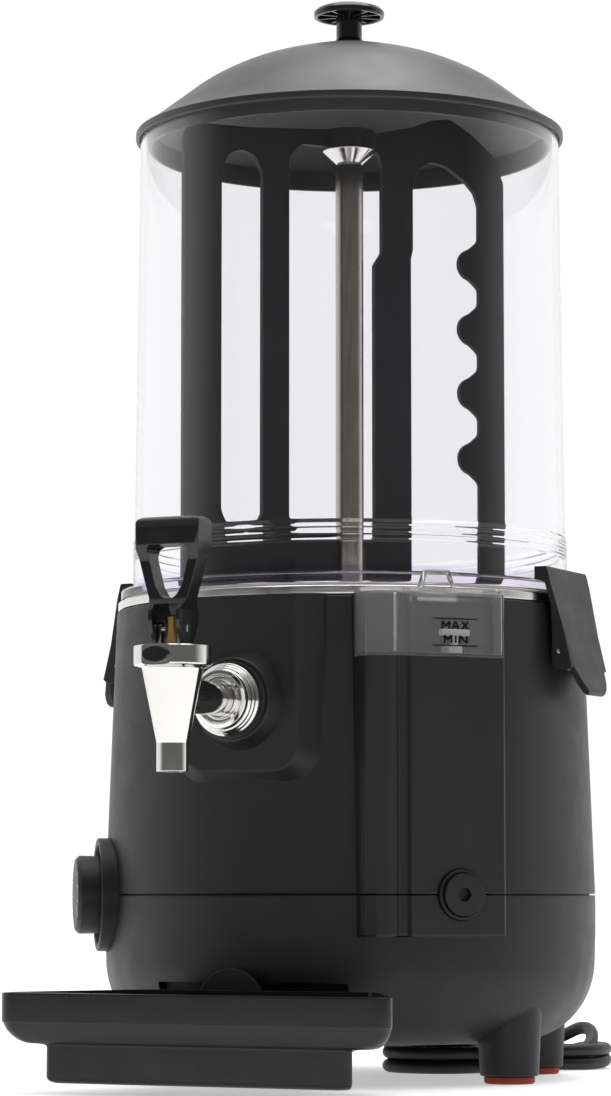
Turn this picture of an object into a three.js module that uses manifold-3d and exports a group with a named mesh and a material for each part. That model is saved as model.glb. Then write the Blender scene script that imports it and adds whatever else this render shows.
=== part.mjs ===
// Hot chocolate dispenser: heated water-bath base, steel bowl, clear container with
// a stirrer, lever tap, drip tray, side clamps, level window, drain and mains lead.
// Millimetres, +Z up. The front faces -Y. Floor at Z = 0.
import * as THREE from 'three';
import { mergeVertices } from 'three/addons/utils/BufferGeometryUtils.js';
import { ConvexGeometry } from 'three/addons/geometries/ConvexGeometry.js';
import Module from 'manifold-3d';

const wasm = await Module();
wasm.setup();

// ---------------------------------------------------------------- driving dimensions
const AXIS_Y = 46;          // the machine's vertical axis stands this far behind the origin
const SEG = 40;             // facets of the large turned parts
const GAP = 0.3;            // clearance between touching pieces
const WALL = 2.5;           // housing wall
const R_BASE = 130;         // housing radius at the seam
const R_TOP = 124.5;        // housing radius under the bowl rim
const Z_BOTTOM = 20;        // underside of the base
const Z_SEAM = 96;          // joint between lower and upper housing
const Z_TOP = 246;          // top of the upper housing
const COLUMN_PHI = 49;      // drain and level column, degrees from the front toward +X
const KNOB_PHI = -56;       // thermostat knob
const GLAND_PHI = 200;      // cord gland at the rear
const SWITCH_PHI = -105;    // rocker switch on the left side
const GLAND_Z = 60;
const SWITCH_Z = 150;
const R_BOWL = 104.5;
const Z_BOWL_FLOOR = 183;
const Z_RIM = 251;          // top of the bowl's rim
const R_FLANGE = 122.5;     // container flange
const R_CONT_BOTTOM = 115.6;
const R_CONT_TOP = 113.2;
const Z_CONT_BOTTOM = 252.5;
const Z_CONT_TOP = 503.2;
const Z_LID = 556.2;
const Z_KNOB_TOP = 578.6;
const TAP_Y = -203;         // axis of the tap
const TAP_Z = 192.7;        // centre of the shank
const LEVER_Z = 224.3;      // pin of the tap lever
const STIR_DIR = [0.602, 0.799];
const STIR_T = 4;
const LATCH_PIN_X = 129.2;
const LATCH_PIN_Z = 220.5;
const LEG_R = 106;
const LEG_PHI = [75, 135, -135, -75];
const PAD_R = 13;
const PAD_H = 3.5;
const TRAY_X = 17.3;
const TRAY_FRONT = -222;
const TRAY_REAR = -141.4;
const CORD_D = 7;

// ---------------------------------------------------------------- solids and helpers
const rad = (d) => (d * Math.PI) / 180;

function toSolid(geometry) {
  let g = geometry.clone();
  for (const name of Object.keys(g.attributes)) if (name !== 'position') g.deleteAttribute(name);
  g = mergeVertices(g, 1e-4);
  const pos = g.attributes.position;
  const idx = [];
  for (let i = 0; i < g.index.count; i += 3) {
    const [a, b, c] = [g.index.getX(i), g.index.getX(i + 1), g.index.getX(i + 2)];
    if (a !== b && b !== c && a !== c) idx.push(a, b, c);
  }
  let volume = 0;
  const p = (i) => [pos.getX(i), pos.getY(i), pos.getZ(i)];
  for (let i = 0; i < idx.length; i += 3) {
    const [a, b, c] = [p(idx[i]), p(idx[i + 1]), p(idx[i + 2])];
    volume +=
      a[0] * (b[1] * c[2] - b[2] * c[1]) -
      a[1] * (b[0] * c[2] - b[2] * c[0]) +
      a[2] * (b[0] * c[1] - b[1] * c[0]);
  }
  if (volume < 0) for (let i = 0; i < idx.length; i += 3) [idx[i + 1], idx[i + 2]] = [idx[i + 2], idx[i + 1]];
  return new wasm.Manifold(
    new wasm.Mesh({ numProp: 3, vertProperties: new Float32Array(pos.array), triVerts: new Uint32Array(idx) })
  );
}

function toGeometry(solid) {
  const m = solid.getMesh();
  const n = m.numProp;
  const v = new Float32Array((m.vertProperties.length / n) * 3);
  for (let i = 0; i < v.length / 3; i++) for (let k = 0; k < 3; k++) v[i * 3 + k] = m.vertProperties[i * n + k];
  const g = new THREE.BufferGeometry();
  g.setAttribute('position', new THREE.BufferAttribute(v, 3));
  g.setIndex(Array.from(m.triVerts));
  g.computeVertexNormals();
  return g;
}

const join = (...s) => s.reduce((a, b) => a.add(b));
const cut = (s, ...t) => t.reduce((a, b) => a.subtract(b), s);

// Turned body about Z from a closed [radius, z] profile.
function lathe(profile, seg = SEG) {
  const pts = profile.map(([r, z]) => new THREE.Vector2(r, z));
  const first = pts[0], last = pts[pts.length - 1];
  if (!(first.x === 0 && last.x === 0)) pts.push(first.clone());
  return toSolid(new THREE.LatheGeometry(pts, seg).rotateX(Math.PI / 2));
}

function box(x0, x1, y0, y1, z0, z1) {
  return toSolid(new THREE.BoxGeometry(x1 - x0, y1 - y0, z1 - z0).translate((x0 + x1) / 2, (y0 + y1) / 2, (z0 + z1) / 2));
}

// Outline in X, Y drawn up from z0 to z1.
function prism(points, z0, z1) {
  const shape = new THREE.Shape(points.map(([x, y]) => new THREE.Vector2(x, y)));
  return toSolid(new THREE.ExtrudeGeometry(shape, { depth: z1 - z0, bevelEnabled: false, steps: 1 }).translate(0, 0, z0));
}

// Outline in X, Z drawn along Y from y0 to y1.
function prismY(points, y0, y1) {
  const shape = new THREE.Shape(points.map(([x, z]) => new THREE.Vector2(x, z)));
  return toSolid(
    new THREE.ExtrudeGeometry(shape, { depth: y1 - y0, bevelEnabled: false, steps: 1 }).rotateX(Math.PI / 2).translate(0, y1, 0)
  );
}

// Outline in Y, Z drawn along X from x0 to x1.
function prismX(points, x0, x1) {
  const shape = new THREE.Shape(points.map(([y, z]) => new THREE.Vector2(y, z)));
  const g = new THREE.ExtrudeGeometry(shape, { depth: x1 - x0, bevelEnabled: false, steps: 1 });
  g.rotateZ(Math.PI / 2).rotateY(Math.PI / 2);
  // (y, z) now lies along +Y and +Z, and the depth along +X
  return toSolid(g.translate(x0, 0, 0));
}

// Cylinder or cone along Z.
function cylZ(x, y, r0, r1, z0, z1, seg = 24) {
  return toSolid(new THREE.CylinderGeometry(r1, r0, z1 - z0, seg).rotateX(Math.PI / 2).translate(x, y, (z0 + z1) / 2));
}

// Cylinder or cone along Y, r0 at the rear end y1 and r1 at the front end y0.
function cylY(x, z, r0, r1, y0, y1, seg = 24) {
  return toSolid(new THREE.CylinderGeometry(r0, r1, y1 - y0, seg).translate(x, (y0 + y1) / 2, z));
}

function cylX(y, z, r, x0, x1, seg = 20) {
  return toSolid(new THREE.CylinderGeometry(r, r, x1 - x0, seg).rotateZ(Math.PI / 2).translate((x0 + x1) / 2, y, z));
}

// Body turned about an axis along -Y through (0, z): profile of [radius, n], n counted toward the front.
function latheFront(profile, z, seg = 32) {
  const pts = profile.map(([r, n]) => new THREE.Vector2(r, n));
  const first = pts[0], last = pts[pts.length - 1];
  if (!(first.x === 0 && last.x === 0)) pts.push(first.clone());
  return toSolid(new THREE.LatheGeometry(pts, seg).rotateX(Math.PI).translate(0, 0, z));
}

// Turns a piece built at the front to the azimuth phi.
const atPhi = (solid, phi) => solid.rotate([0, 0, phi]);

// Loft between outlines of equal count, each {z, pts}.
function loft(levels) {
  const count = levels[0].pts.length;
  const v = [], t = [];
  for (const { z, pts } of levels) for (const [x, y] of pts) v.push(x, y, z);
  for (let k = 0; k + 1 < levels.length; k++)
    for (let i = 0; i < count; i++) {
      const j = (i + 1) % count, a = k * count, b = (k + 1) * count;
      t.push(a + i, a + j, b + j, a + i, b + j, b + i);
    }
  const cap = THREE.ShapeUtils.triangulateShape(levels[0].pts.map(([x, y]) => new THREE.Vector2(x, y)), []);
  const top = (levels.length - 1) * count;
  const capTop = THREE.ShapeUtils.triangulateShape(levels[levels.length - 1].pts.map(([x, y]) => new THREE.Vector2(x, y)), []);
  for (const [a, b, c] of cap) t.push(a, c, b);
  for (const [a, b, c] of capTop) t.push(top + a, top + b, top + c);
  const g = new THREE.BufferGeometry();
  g.setAttribute('position', new THREE.BufferAttribute(new Float32Array(v), 3));
  g.setIndex(t);
  return toSolid(g);
}

// Section swept along a curve of points.
function sweep(points, outer, inner = 0, sides = 10, steps = 40) {
  const shape = new THREE.Shape();
  for (let i = 0; i < sides; i++) {
    const a = (i / sides) * 2 * Math.PI;
    const p = [outer * Math.cos(a), outer * Math.sin(a)];
    if (i === 0) shape.moveTo(...p);
    else shape.lineTo(...p);
  }
  shape.closePath();
  if (inner > 0) {
    const hole = new THREE.Path();
    for (let i = 0; i < sides; i++) {
      const a = (-i / sides) * 2 * Math.PI;
      const p = [inner * Math.cos(a), inner * Math.sin(a)];
      if (i === 0) hole.moveTo(...p);
      else hole.lineTo(...p);
    }
    hole.closePath();
    shape.holes.push(hole);
  }
  const curve = new THREE.CatmullRomCurve3(points.map((p) => new THREE.Vector3(...p)), false, 'centripetal');
  return toSolid(new THREE.ExtrudeGeometry(shape, { steps, bevelEnabled: false, extrudePath: curve }));
}

// ---------------------------------------------------------------- materials and scene graph
const finish = {
  black: { color: 0x191a1c, roughness: 0.5, metalness: 0 },
  gloss: { color: 0x101012, roughness: 0.15, metalness: 0 },
  rubber: { color: 0x111111, roughness: 0.8, metalness: 0 },
  pad: { color: 0xb8321a, roughness: 0.7, metalness: 0 },
  steel: { color: 0xc9cbcd, roughness: 0.25, metalness: 1 },
  chrome: { color: 0xe6e8ea, roughness: 0.08, metalness: 1 },
  brass: { color: 0xb08d4a, roughness: 0.3, metalness: 1 },
  clear: { color: 0xeef0f6, roughness: 0.05, metalness: 0, transparent: true, opacity: 0.3 },
  white: { color: 0xe8e8e4, roughness: 0.5, metalness: 0 },
  seal: { color: 0xd8d4c8, roughness: 0.6, metalness: 0 },
  zinc: { color: 0xa6a8aa, roughness: 0.4, metalness: 1 },
};

const machine = new THREE.Group();
machine.position.y = AXIS_Y;

function add(name, solid, kind) {
  const mesh = new THREE.Mesh(toGeometry(solid), new THREE.MeshStandardMaterial(finish[kind]));
  mesh.name = name;
  machine.add(mesh);
  return mesh;
}

// ---------------------------------------------------------------- lower housing
const ell = (rx, rz, zc, steps) =>
  Array.from({ length: steps + 1 }, (_, i) => {
    const a = (i / steps) * (Math.PI / 2);
    return [90 + rx * Math.sin(a), zc - rz * Math.cos(a)];
  });
const seamLow = Z_SEAM - GAP, seamHigh = Z_SEAM + GAP;
const lowerOuter = lathe([[0, Z_BOTTOM], ...ell(39.5, 42, 62, 5), [R_BASE, seamLow], [0, seamLow]]);
const lowerInner = lathe([[0, Z_BOTTOM + WALL], ...ell(39.5 - WALL, 42 - WALL, 62, 4), [R_BASE - WALL, 100], [0, 100]]);

const columnPlan = [
  [25.5, -112], [25.5, -134.6], [24, -136], [-27, -136], [-28.6, -133.5], [-33.4, -133.5],
  [-35, -135.2], [-40, -135.5], [-46, -134], [-49.3, -130], [-50, -125], [-50, -112],
];
const legs = LEG_PHI.map((phi) => atPhi(cylZ(0, -LEG_R, 15, 17.5, PAD_H + GAP, 52, 18), phi));
const columnLow = prism(columnPlan, 75, seamLow);
const columnVoidLow = prism([[22, -100], [22, -131], [-46, -131], [-46, -100]], 78, 100);
const knobHole = atPhi(cylY(0, Z_SEAM, 30, 30, -142, -100, 32), KNOB_PHI);
const drainHole = atPhi(cylY(0, Z_SEAM, 12.9, 12.9, -142, -120, 24), COLUMN_PHI);
const glandHole = atPhi(cylY(0, GLAND_Z, 8.3, 8.3, -140, -115, 20), GLAND_PHI);
const baseVents = [-30, -20, -10, 0, 10, 20, 30].map((x) => box(x - 2, x + 2, 20, 62, Z_BOTTOM - 1, Z_BOTTOM + WALL + 1));
// A short ring inside the seam, over which the upper housing fits.
const spigot = lathe([[R_BASE - 5, 88], [R_BASE - 1.5, 88], [R_BASE - 1.5, 95], [R_BASE - 3, 95.7], [R_BASE - 3, 100], [R_BASE - 5, 100]]);
add(
  'lower_housing',
  cut(
    join(cut(join(lowerOuter, ...legs, atPhi(columnLow, COLUMN_PHI)), lowerInner), spigot),
    atPhi(columnVoidLow, COLUMN_PHI),
    knobHole,
    drainHole,
    glandHole,
    box(-53, 53, -140, -100, 40, 52),
    ...baseVents
  ),
  'black'
);
LEG_PHI.forEach((phi, i) => add(`foot_pad_${i + 1}`, atPhi(cylZ(0, -LEG_R, PAD_R, PAD_R, 0, PAD_H, 20), phi), 'pad'));

// ---------------------------------------------------------------- upper housing
const wallAt = (z) => R_BASE + ((R_TOP - R_BASE) * (z - seamHigh)) / (Z_TOP - seamHigh);
const upperOuter = lathe([[0, seamHigh], [R_BASE, seamHigh], [R_TOP, Z_TOP], [0, Z_TOP]]);
const upperInner = lathe([[0, 90], [R_BASE - WALL, 90], [R_BASE - WALL, seamHigh], [wallAt(243.5) - WALL, 243.5], [118, 243.5], [118, 250], [0, 250]]);

// Tap boss: a bevelled shield whose front face is flat.
const shield = (hw, z0, r, y) => {
  const out = [[-hw, y, Z_TOP], [hw, y, Z_TOP]];
  for (let i = 0; i <= 5; i++) {
    const a = (i / 5) * (Math.PI / 2);
    out.push([hw - r + r * Math.cos(a), y, z0 + r - r * Math.sin(a)]);
    out.push([-hw + r - r * Math.cos(a), y, z0 + r - r * Math.sin(a)]);
  }
  return out;
};
const boss = toSolid(
  new ConvexGeometry([...shield(31.9, 157.6, 12, -131.5), ...shield(41.5, 145, 22, -119)].map((p) => new THREE.Vector3(...p)))
);
const collar = cylY(0, 193, 25, 21, -140.5, -128, 40);
const columnHigh = prism(columnPlan, seamHigh, Z_TOP);
const columnVoidHigh = prism([[22, -100], [22, -131], [-46, -131], [-46, -100]], 90, 211.8);
const gaugePocket = prism([[25.8, -117], [25.8, -140], [-50.3, -140], [-50.3, -117]], 214.3, 250);
const pocketBack = prism([[27.5, -114.8], [27.5, -117.2], [-46, -117.2], [-46, -114.8]], 211.8, 243.6);
const lug = (side) => {
  const s = side;
  const body = join(
    box(Math.min(s * 122.6, s * LATCH_PIN_X), Math.max(s * 122.6, s * LATCH_PIN_X), -20, 20, LATCH_PIN_Z - 2.55, LATCH_PIN_Z + 2.55),
    cylY(s * LATCH_PIN_X, LATCH_PIN_Z, 2.55, 2.55, -20, 20, 20)
  );
  return cut(body, cylY(s * LATCH_PIN_X, LATCH_PIN_Z, 1.5, 1.5, -21, 21, 16));
};
const switchHole = atPhi(box(-10, 10, -135, -115, SWITCH_Z - 12.2, SWITCH_Z + 12.2), SWITCH_PHI);
add(
  'upper_housing',
  join(
    cut(
      join(upperOuter, boss, collar, atPhi(columnHigh, COLUMN_PHI)),
      upperInner,
      atPhi(columnVoidHigh, COLUMN_PHI),
      atPhi(gaugePocket, COLUMN_PHI),
      cylY(0, TAP_Z, 9, 9, -145, -110, 28),
      knobHole,
      drainHole,
      switchHole
    ),
    atPhi(pocketBack, COLUMN_PHI),
    lug(1),
    lug(-1)
  ),
  'black'
);

// ---------------------------------------------------------------- level window
const tankPlan = [
  [25.4, -117.5], [25.4, -134.6], [24, -136], [-27, -136], [-28.6, -133.5], [-33.4, -133.5],
  [-35, -135.2], [-40, -135.5], [-46, -134], [-49.3, -130], [-49.9, -125], [-49.9, -117.5],
];
const tankInside = [
  [23.9, -119], [23.9, -134.3], [-26.6, -134.5], [-28.2, -132], [-34, -132],
  [-36, -133.8], [-40, -134], [-45.4, -132.6], [-48, -129.4], [-48.4, -125], [-48.4, -119],
];
add('gauge_tank', atPhi(cut(prism(tankPlan, 214.6, 246), prism(tankInside, 216.1, 247)), COLUMN_PHI), 'clear');
const gaugeRelief = lathe([[0, 240], [124.6, 240], [124.6, 262], [0, 262]]);
add(
  'gauge_lid',
  cut(
    atPhi(
      join(
        prism(tankPlan, 246.3, 249),
        prismY([[-0.5, 248.5], [-4, 258.5], [-16, 258.5], [-19.5, 248.5]], -133, -125)
      ),
      COLUMN_PHI
    ),
    gaugeRelief
  ),
  'clear'
);
add(
  'gauge_float',
  atPhi(
    join(
      prism([[2.7, -123], [2.7, -132.4], [-5.1, -132.4], [-5.1, -123]], 216.4, 220.2),
      prism([[0.3, -128.4], [0.3, -132.4], [-2.7, -132.4], [-2.7, -128.4]], 220, 226),
      prism([[6.9, -128.4], [6.9, -132.4], [-8.7, -132.4], [-8.7, -128.4]], 225.4, 228.6)
    ),
    COLUMN_PHI
  ),
  'white'
);

// ---------------------------------------------------------------- drain
add('drain_boss', atPhi(latheFront([[8.2, 126], [12.6, 126], [12.6, 138], [10.9, 138], [10.9, 136], [8.2, 136]], Z_SEAM, 24), COLUMN_PHI), 'black');
const hex = Array.from({ length: 6 }, (_, i) => [3.8 * Math.cos(rad(60 * i)), Z_SEAM + 3.8 * Math.sin(rad(60 * i))]);
add(
  'drain_plug',
  atPhi(
    cut(latheFront([[0, 124.5], [7.8, 124.5], [7.8, 136.3], [10.6, 136.3], [10.6, 140], [0, 140]], Z_SEAM, 24), prismY(hex, -141, -136.8)),
    COLUMN_PHI
  ),
  'black'
);
add(
  'drain_pipe',
  atPhi(sweep([[0, -122.5, 96], [0, -114, 96], [0, -105, 97.5], [0, -101, 105], [0, -100, 118], [0, -100, 140], [0, -100, 164.6]], 4.5, 3.2, 8, 8), COLUMN_PHI),
  'seal'
);

// ---------------------------------------------------------------- thermostat and knob
add(
  'control_bezel',
  atPhi(
    latheFront([[4, 126.3], [27.2, 126.3], [27.2, 121], [29.7, 121], [29.7, 135], [26.2, 135], [25.2, 128], [4, 128]], Z_SEAM, 32),
    KNOB_PHI
  ),
  'black'
);
add('control_knob', atPhi(latheFront([[0, 141.6], [0, 146.5], [19, 146.5], [20.5, 145], [20.5, 131], [19.6, 129], [3.3, 129], [3.3, 141.6]], Z_SEAM, 28), KNOB_PHI), 'black');
add('thermostat_shaft', atPhi(cylY(0, Z_SEAM, 3, 3, -141.3, -112.3, 16), KNOB_PHI), 'zinc');
add('thermostat', atPhi(latheFront([[0, 92], [17, 92], [17, 112], [5, 112], [5, 118], [3.3, 118], [3.3, 111.9], [0, 111.9]], Z_SEAM, 16), KNOB_PHI), 'zinc');

// ---------------------------------------------------------------- rocker switch
add(
  'switch_frame',
  atPhi(
    cut(
      join(box(-11.6, 11.6, -130.4, -128.6, SWITCH_Z - 14.6, SWITCH_Z + 14.6), box(-9.7, 9.7, -129, -104, SWITCH_Z - 11.9, SWITCH_Z + 11.9)),
      box(-7.7, 7.7, -131, -119, SWITCH_Z - 10.9, SWITCH_Z + 10.9)
    ),
    SWITCH_PHI
  ),
  'gloss'
);
add(
  'power_switch',
  atPhi(
    prismX([[-124, SWITCH_Z - 9.6], [-128.2, SWITCH_Z - 9.6], [-129.8, SWITCH_Z], [-132, SWITCH_Z + 9.6], [-124, SWITCH_Z + 9.6]], -7.3, 7.3),
    SWITCH_PHI
  ),
  'gloss'
);

// ---------------------------------------------------------------- bowl, jacket and heater
add(
  'bowl',
  cut(
    lathe([
      [7.9, Z_BOWL_FLOOR - 1.5], [96, Z_BOWL_FLOOR - 1.5], [102, 184], [R_BOWL, 190], [R_BOWL, 246.3], [124, 246.3],
      [124, Z_RIM], [R_BOWL - 1.5, Z_RIM], [R_BOWL - 1.5, 190.5], [101, 185.5], [95.5, Z_BOWL_FLOOR], [7.9, Z_BOWL_FLOOR],
    ]),
    cylY(0, TAP_Z, 8.3, 8.3, -110, -95, 24)
  ),
  'steel'
);
add(
  'water_jacket',
  cut(
    lathe([[7.9, 165], [111, 165], [111, 246], [109.5, 246], [109.5, 166.5], [7.9, 166.5]]),
    cylY(0, TAP_Z, 8.3, 8.3, -116, -104.6, 24)
  ),
  'steel'
);
add('heater_ring', lathe([[66, 158], [74, 158], [76, 161], [74, 164.6], [66, 164.6], [64, 161]], 32), 'zinc');
add('container_seal', lathe([[108, 251.3], [121, 251.3], [121, 252.2], [108, 252.2]]), 'seal');

// ---------------------------------------------------------------- container and lid
const wallOut = (z) => R_CONT_BOTTOM + ((R_CONT_TOP - R_CONT_BOTTOM) * (z - 285)) / (Z_CONT_TOP - 285);
add(
  'container',
  lathe([
    [112.6, Z_CONT_BOTTOM], [R_FLANGE, Z_CONT_BOTTOM], [R_FLANGE, 257.3], [116.3, 257.3],
    [116.3, 282], [R_CONT_BOTTOM, 285], [wallOut(Z_CONT_TOP), Z_CONT_TOP],
    [R_CONT_TOP - 3, Z_CONT_TOP], [112.6, 285],
  ]),
  'clear'
);
add(
  'lid',
  lathe([
    [2.7, Z_LID], [14, 555.2], [30, 551.2], [57.7, 543.2], [78.9, 532.2], [94.1, 521.2], [109.2, 510.2], [115.7, 506.2], [115.7, 501.9],
    [113.7, 501.9], [113.7, 503.6], [109, 503.6], [109, 496.4], [107, 496.4], [107, 508.1], [92.6, 518.8],
    [77.7, 529.8], [56.7, 540.7], [29.4, 548.6], [2.7, 553.6],
  ]),
  'black'
);
add(
  'lid_knob',
  lathe(
    [
      [0, 563], [2.7, 563], [2.7, 556.5], [8.4, 556.5], [7, 559.2], [7, 571.4],
      [19.3, 571.4], [19.3, 574.6], [13.6, 577.6], [0, Z_KNOB_TOP],
    ],
    24
  ),
  'gloss'
);
add('lid_screw', lathe([[0, 549.2], [4, 549.2], [5, 550.6], [5, 552.4], [2.3, 552.4], [2.3, 562.6], [0, 562.6]], 20), 'zinc');

// ---------------------------------------------------------------- stirrer, shaft, tube and drive
add('centre_tube', lathe([[5.9, 163], [7.6, 163], [7.6, 489], [7.2, 489.5], [5.9, 489.5]], 24), 'steel');
add('drive_shaft', lathe([[0, 114.6], [4, 114.6], [4, 499.5], [3.5, 500], [0, 500]], 16), 'steel');
add('shaft_nut', lathe([[4.4, 490.2], [7, 490.2], [14.3, 497], [14.3, 498], [4.4, 498]], 24), 'steel');

const paddleOutline = [
  [-99, 204], [-95, 200], [37.2, 200], [37.2, 441], [38.5, 446], [38.5, 480], [42, 491], [50, 496], [60, 494], [72, 487], [78, 481], [80.5, 474],
  // inner edge of the outermost bar, with its four rounded lobes
  ...[441, 405, 369.5, 333.5].flatMap((z) => [[80.5, z + 13], [76, z + 9.5], [69.5, z + 6], [68, z], [69.5, z - 6], [76, z - 9.5], [80.5, z - 13]]),
  [80.5, 206], [84, 200], [93, 200], [96.5, 204], [96.5, 488], [90, 503], [76, 513.5], [62, 521], [50, 519], [38, 514], [14, 508], [-14, 508], [-60, 504.5], [-92, 504], [-97, 501], [-99, 495],
];
const windowAB = [[-77.5, 298], [-74, 290.5], [-68, 288], [-62, 288], [-56, 290.5], [-53, 298], [-53, 480], [-57, 489], [-65.5, 492], [-73.5, 489], [-77.5, 480]];
const windowBC = [[-37.5, 296], [-34.5, 291], [-29, 289], [14.8, 289], [14.8, 436], [19.5, 443], [19.5, 490], [17, 498.4], [-30, 498.4], [-37.5, 491]];
const plate = cut(
  prismY(paddleOutline, -STIR_T / 2, STIR_T / 2),
  prismY(windowAB, -4, 4),
  prismY(windowBC, -4, 4),
  cylZ(0, 0, 8.7, 8.7, 190, 292, 28)
);
const hub = cylZ(0, 0, 14, 14, 498.4, 508, 28);
const footRing = cylZ(0, 0, 11.6, 11.6, 200, 216, 28);
const stirAngle = (Math.atan2(STIR_DIR[1], STIR_DIR[0]) * 180) / Math.PI;
add(
  'stirrer',
  cut(join(plate, hub, footRing), cylZ(0, 0, 8.7, 8.7, 190, 292, 28), cylZ(0, 0, 4.4, 4.4, 490, 502, 16)).rotate([0, 0, stirAngle]),
  'black'
);
add('gear_motor', join(cylZ(0, 0, 30, 30, 66, 112, 24), cylZ(0, 0, 24, 24, 44, 66, 24), cylZ(0, 0, 6, 6, 111, 114.3, 16)), 'zinc');
add(
  'motor_bracket',
  cut(
    join(cylZ(0, 0, 58, 58, 112.3, 114.6, 32), ...[20, 140, 260].map((a) => cylZ(50 * Math.cos(rad(a)), 50 * Math.sin(rad(a)), 4, 4, 114, 164.7, 12))),
    cylZ(0, 0, 6.4, 6.4, 110, 118, 20)
  ),
  'zinc'
);

// ---------------------------------------------------------------- tap
const tapAtFront = (solid) => solid.translate([0, TAP_Y, 0]);
add(
  'tap_shank',
  cut(cylY(0, TAP_Z, 8, 8, -154, -100.5, 28), cylY(0, TAP_Z, 5, 5, -156, -98, 20)),
  'chrome'
);
add('tap_washer', cut(cylY(0, TAP_Z, 19.5, 19.5, -143, -140.8, 28), cylY(0, TAP_Z, 8.3, 8.3, -145, -139, 20)), 'rubber');
add('tap_nut', latheFront([[8.3, 143.3], [18.3, 143.3], [18.3, 147], [15.5, 151], [14.5, 154], [8.3, 154]], TAP_Z, 28), 'chrome');
const tapEar = (s) =>
  join(box(Math.min(s * 4.4, s * 6.1), Math.max(s * 4.4, s * 6.1), -4, 4, 215, LEVER_Z), cylX(0, LEVER_Z, 4, Math.min(s * 4.4, s * 6.1), Math.max(s * 4.4, s * 6.1), 20));
const tapOuter = lathe([[0, 155], [7.8, 155], [7.8, 169], [15, 205], [19, 206.5], [19, 216], [0, 216]], 28);
const tapChamber = lathe([[0, 150], [5.4, 150], [5.4, 170.5], [11.5, 204.5], [4.6, 209.5], [4.6, 220], [0, 220]], 16);
add(
  'tap_body',
  tapAtFront(
    cut(
      join(tapOuter, cylY(0, TAP_Z, 8.4, 8.4, 2, -154.5 - TAP_Y, 28), tapEar(1), tapEar(-1)),
      tapChamber,
      cylY(0, TAP_Z, 5, 5, 3, 60, 20),
      cylX(0, LEVER_Z, 2.1, -20, 20, 16),
      box(-9, 9, -25, -17.5, 204, 217)
    )
  ),
  'chrome'
);
const ovalPts = Array.from({ length: 20 }, (_, i) => [7.25 * Math.cos((i / 20) * 2 * Math.PI), 211 + 4.1 * Math.sin((i / 20) * 2 * Math.PI)]);
add('tap_cap', tapAtFront(prismY(ovalPts, -19, -17.8)), 'gloss');
add('tap_pin', tapAtFront(cylX(0, LEVER_Z, 1.8, -8.3, 8.3, 16)), 'chrome');
const leverFace = [
  [8.5, 216.3], [8.5, 233], [10.3, 238.5], [13.1, 248], [15.9, 258], [17.3, 265.5], [17.6, 269], [17.6, 275.5], [16.4, 278.2], [14, 279],
];
const leverOutline = [...leverFace, ...leverFace.map(([x, z]) => [-x, z]).reverse()];
const leverLoop = [[2, 238.8], [4.4, 240.4], [7.3, 245], [11.4, 261], [10.9, 263.6], [8.8, 265], [-8.8, 265], [-10.9, 263.6], [-11.4, 261], [-7.3, 245], [-4.4, 240.4], [-2, 238.8]];
const leverSide = [
  [-9.6, 226], [-7.6, 221.4], [-5.66, LEVER_Z - 5.66], [-3.1, 216.9], [0, 216.3], [3.1, 216.9], [5.66, LEVER_Z - 5.66], [7.6, 221.4], [9.6, 226],
  [10, 228], [10, 233], [5.2, 238.8], [5, 258], [7.9, 265], [7.9, 273], [6.4, 277.4], [3.6, 279], [-3.6, 279], [-6.4, 277.4], [-7.9, 273], [-7.9, 265], [-5, 258], [-5.2, 238.8], [-10, 233], [-10, 228],
];
add(
  'tap_handle',
  tapAtFront(
    cut(
      prismY(leverOutline, -10, 10).intersect(prismX(leverSide, -21, 21)),
      prismY(leverLoop, -12, 12),
      box(-6.5, 6.5, -12, 12, 214, 236),
      cylX(0, LEVER_Z, 2.1, -20, 20, 16)
    )
  ),
  'gloss'
);
add(
  'tap_stem',
  tapAtFront(
    cut(
      lathe([[0, 172], [2.6, 172], [2.6, 180], [3.8, 182], [3.8, 230], [3, 231], [0, 231]], 16),
      box(-6, 6, -2.2, 2.2, 218, 226.7)
    )
  ),
  'brass'
);
add('tap_seal', tapAtFront(lathe([[0, 164.5], [3.6, 164.5], [4.9, 168], [4.9, 171.7], [0, 171.7]], 16)), 'seal');

// ---------------------------------------------------------------- container clamps
function latch(side) {
  const outer = [[122.9, 264.5], [124.8, 264], [137.3, 212], [141.1, 202.5], [141.5, 200.2], [140.8, 198.6], [139.3, 198.4], [137.9, 199.6], [134.3, 211.6], [122.4, 261.1]];
  const sides = [[-28, 266], [-28, 256], [-21.5, 213], [-17, 205], [-11, 199.5], [-7, 197], [7, 197], [11, 199.5], [17, 205], [21.5, 213], [28, 256], [28, 266]];
  const shell = prismY(outer, -28, 28).intersect(prismX(sides, 110, 150));
  const lip = box(118, 124.4, -28, 28, 257.8, 264.5);
  const cheekShape = [[124.4, 262], [126.6, 256.3], [137, 212.6], [134.3, 210.6], [127.4, 211.4], [126.1, 214], [126.1, 250], [124.6, 257.8], [122, 259], [122, 262]];
  const flare = [[-28, 266], [-28, 256], [-24.5, 233], [-24.5, 205], [24.5, 205], [24.5, 233], [28, 256], [28, 266]];
  const cheeks = prismY(cheekShape, -28, 28)
    .intersect(prismX(flare, 110, 150))
    .subtract(box(110, 150, -20.6, 20.6, 200, 257.4))
    .subtract(cylY(LATCH_PIN_X, LATCH_PIN_Z, 1.5, 1.5, -40, 40, 16));
  const s = join(shell, lip, cheeks);
  return side > 0 ? s : s.rotate([0, 0, 180]);
}
add('latch_right', latch(1), 'black');
add('latch_left', latch(-1), 'black');
add('latch_pin_right', cylY(LATCH_PIN_X, LATCH_PIN_Z, 1.2, 1.2, -24.4, 24.4, 12), 'chrome');
add('latch_pin_left', cylY(-LATCH_PIN_X, LATCH_PIN_Z, 1.2, 1.2, -24.4, 24.4, 12), 'chrome');

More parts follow.
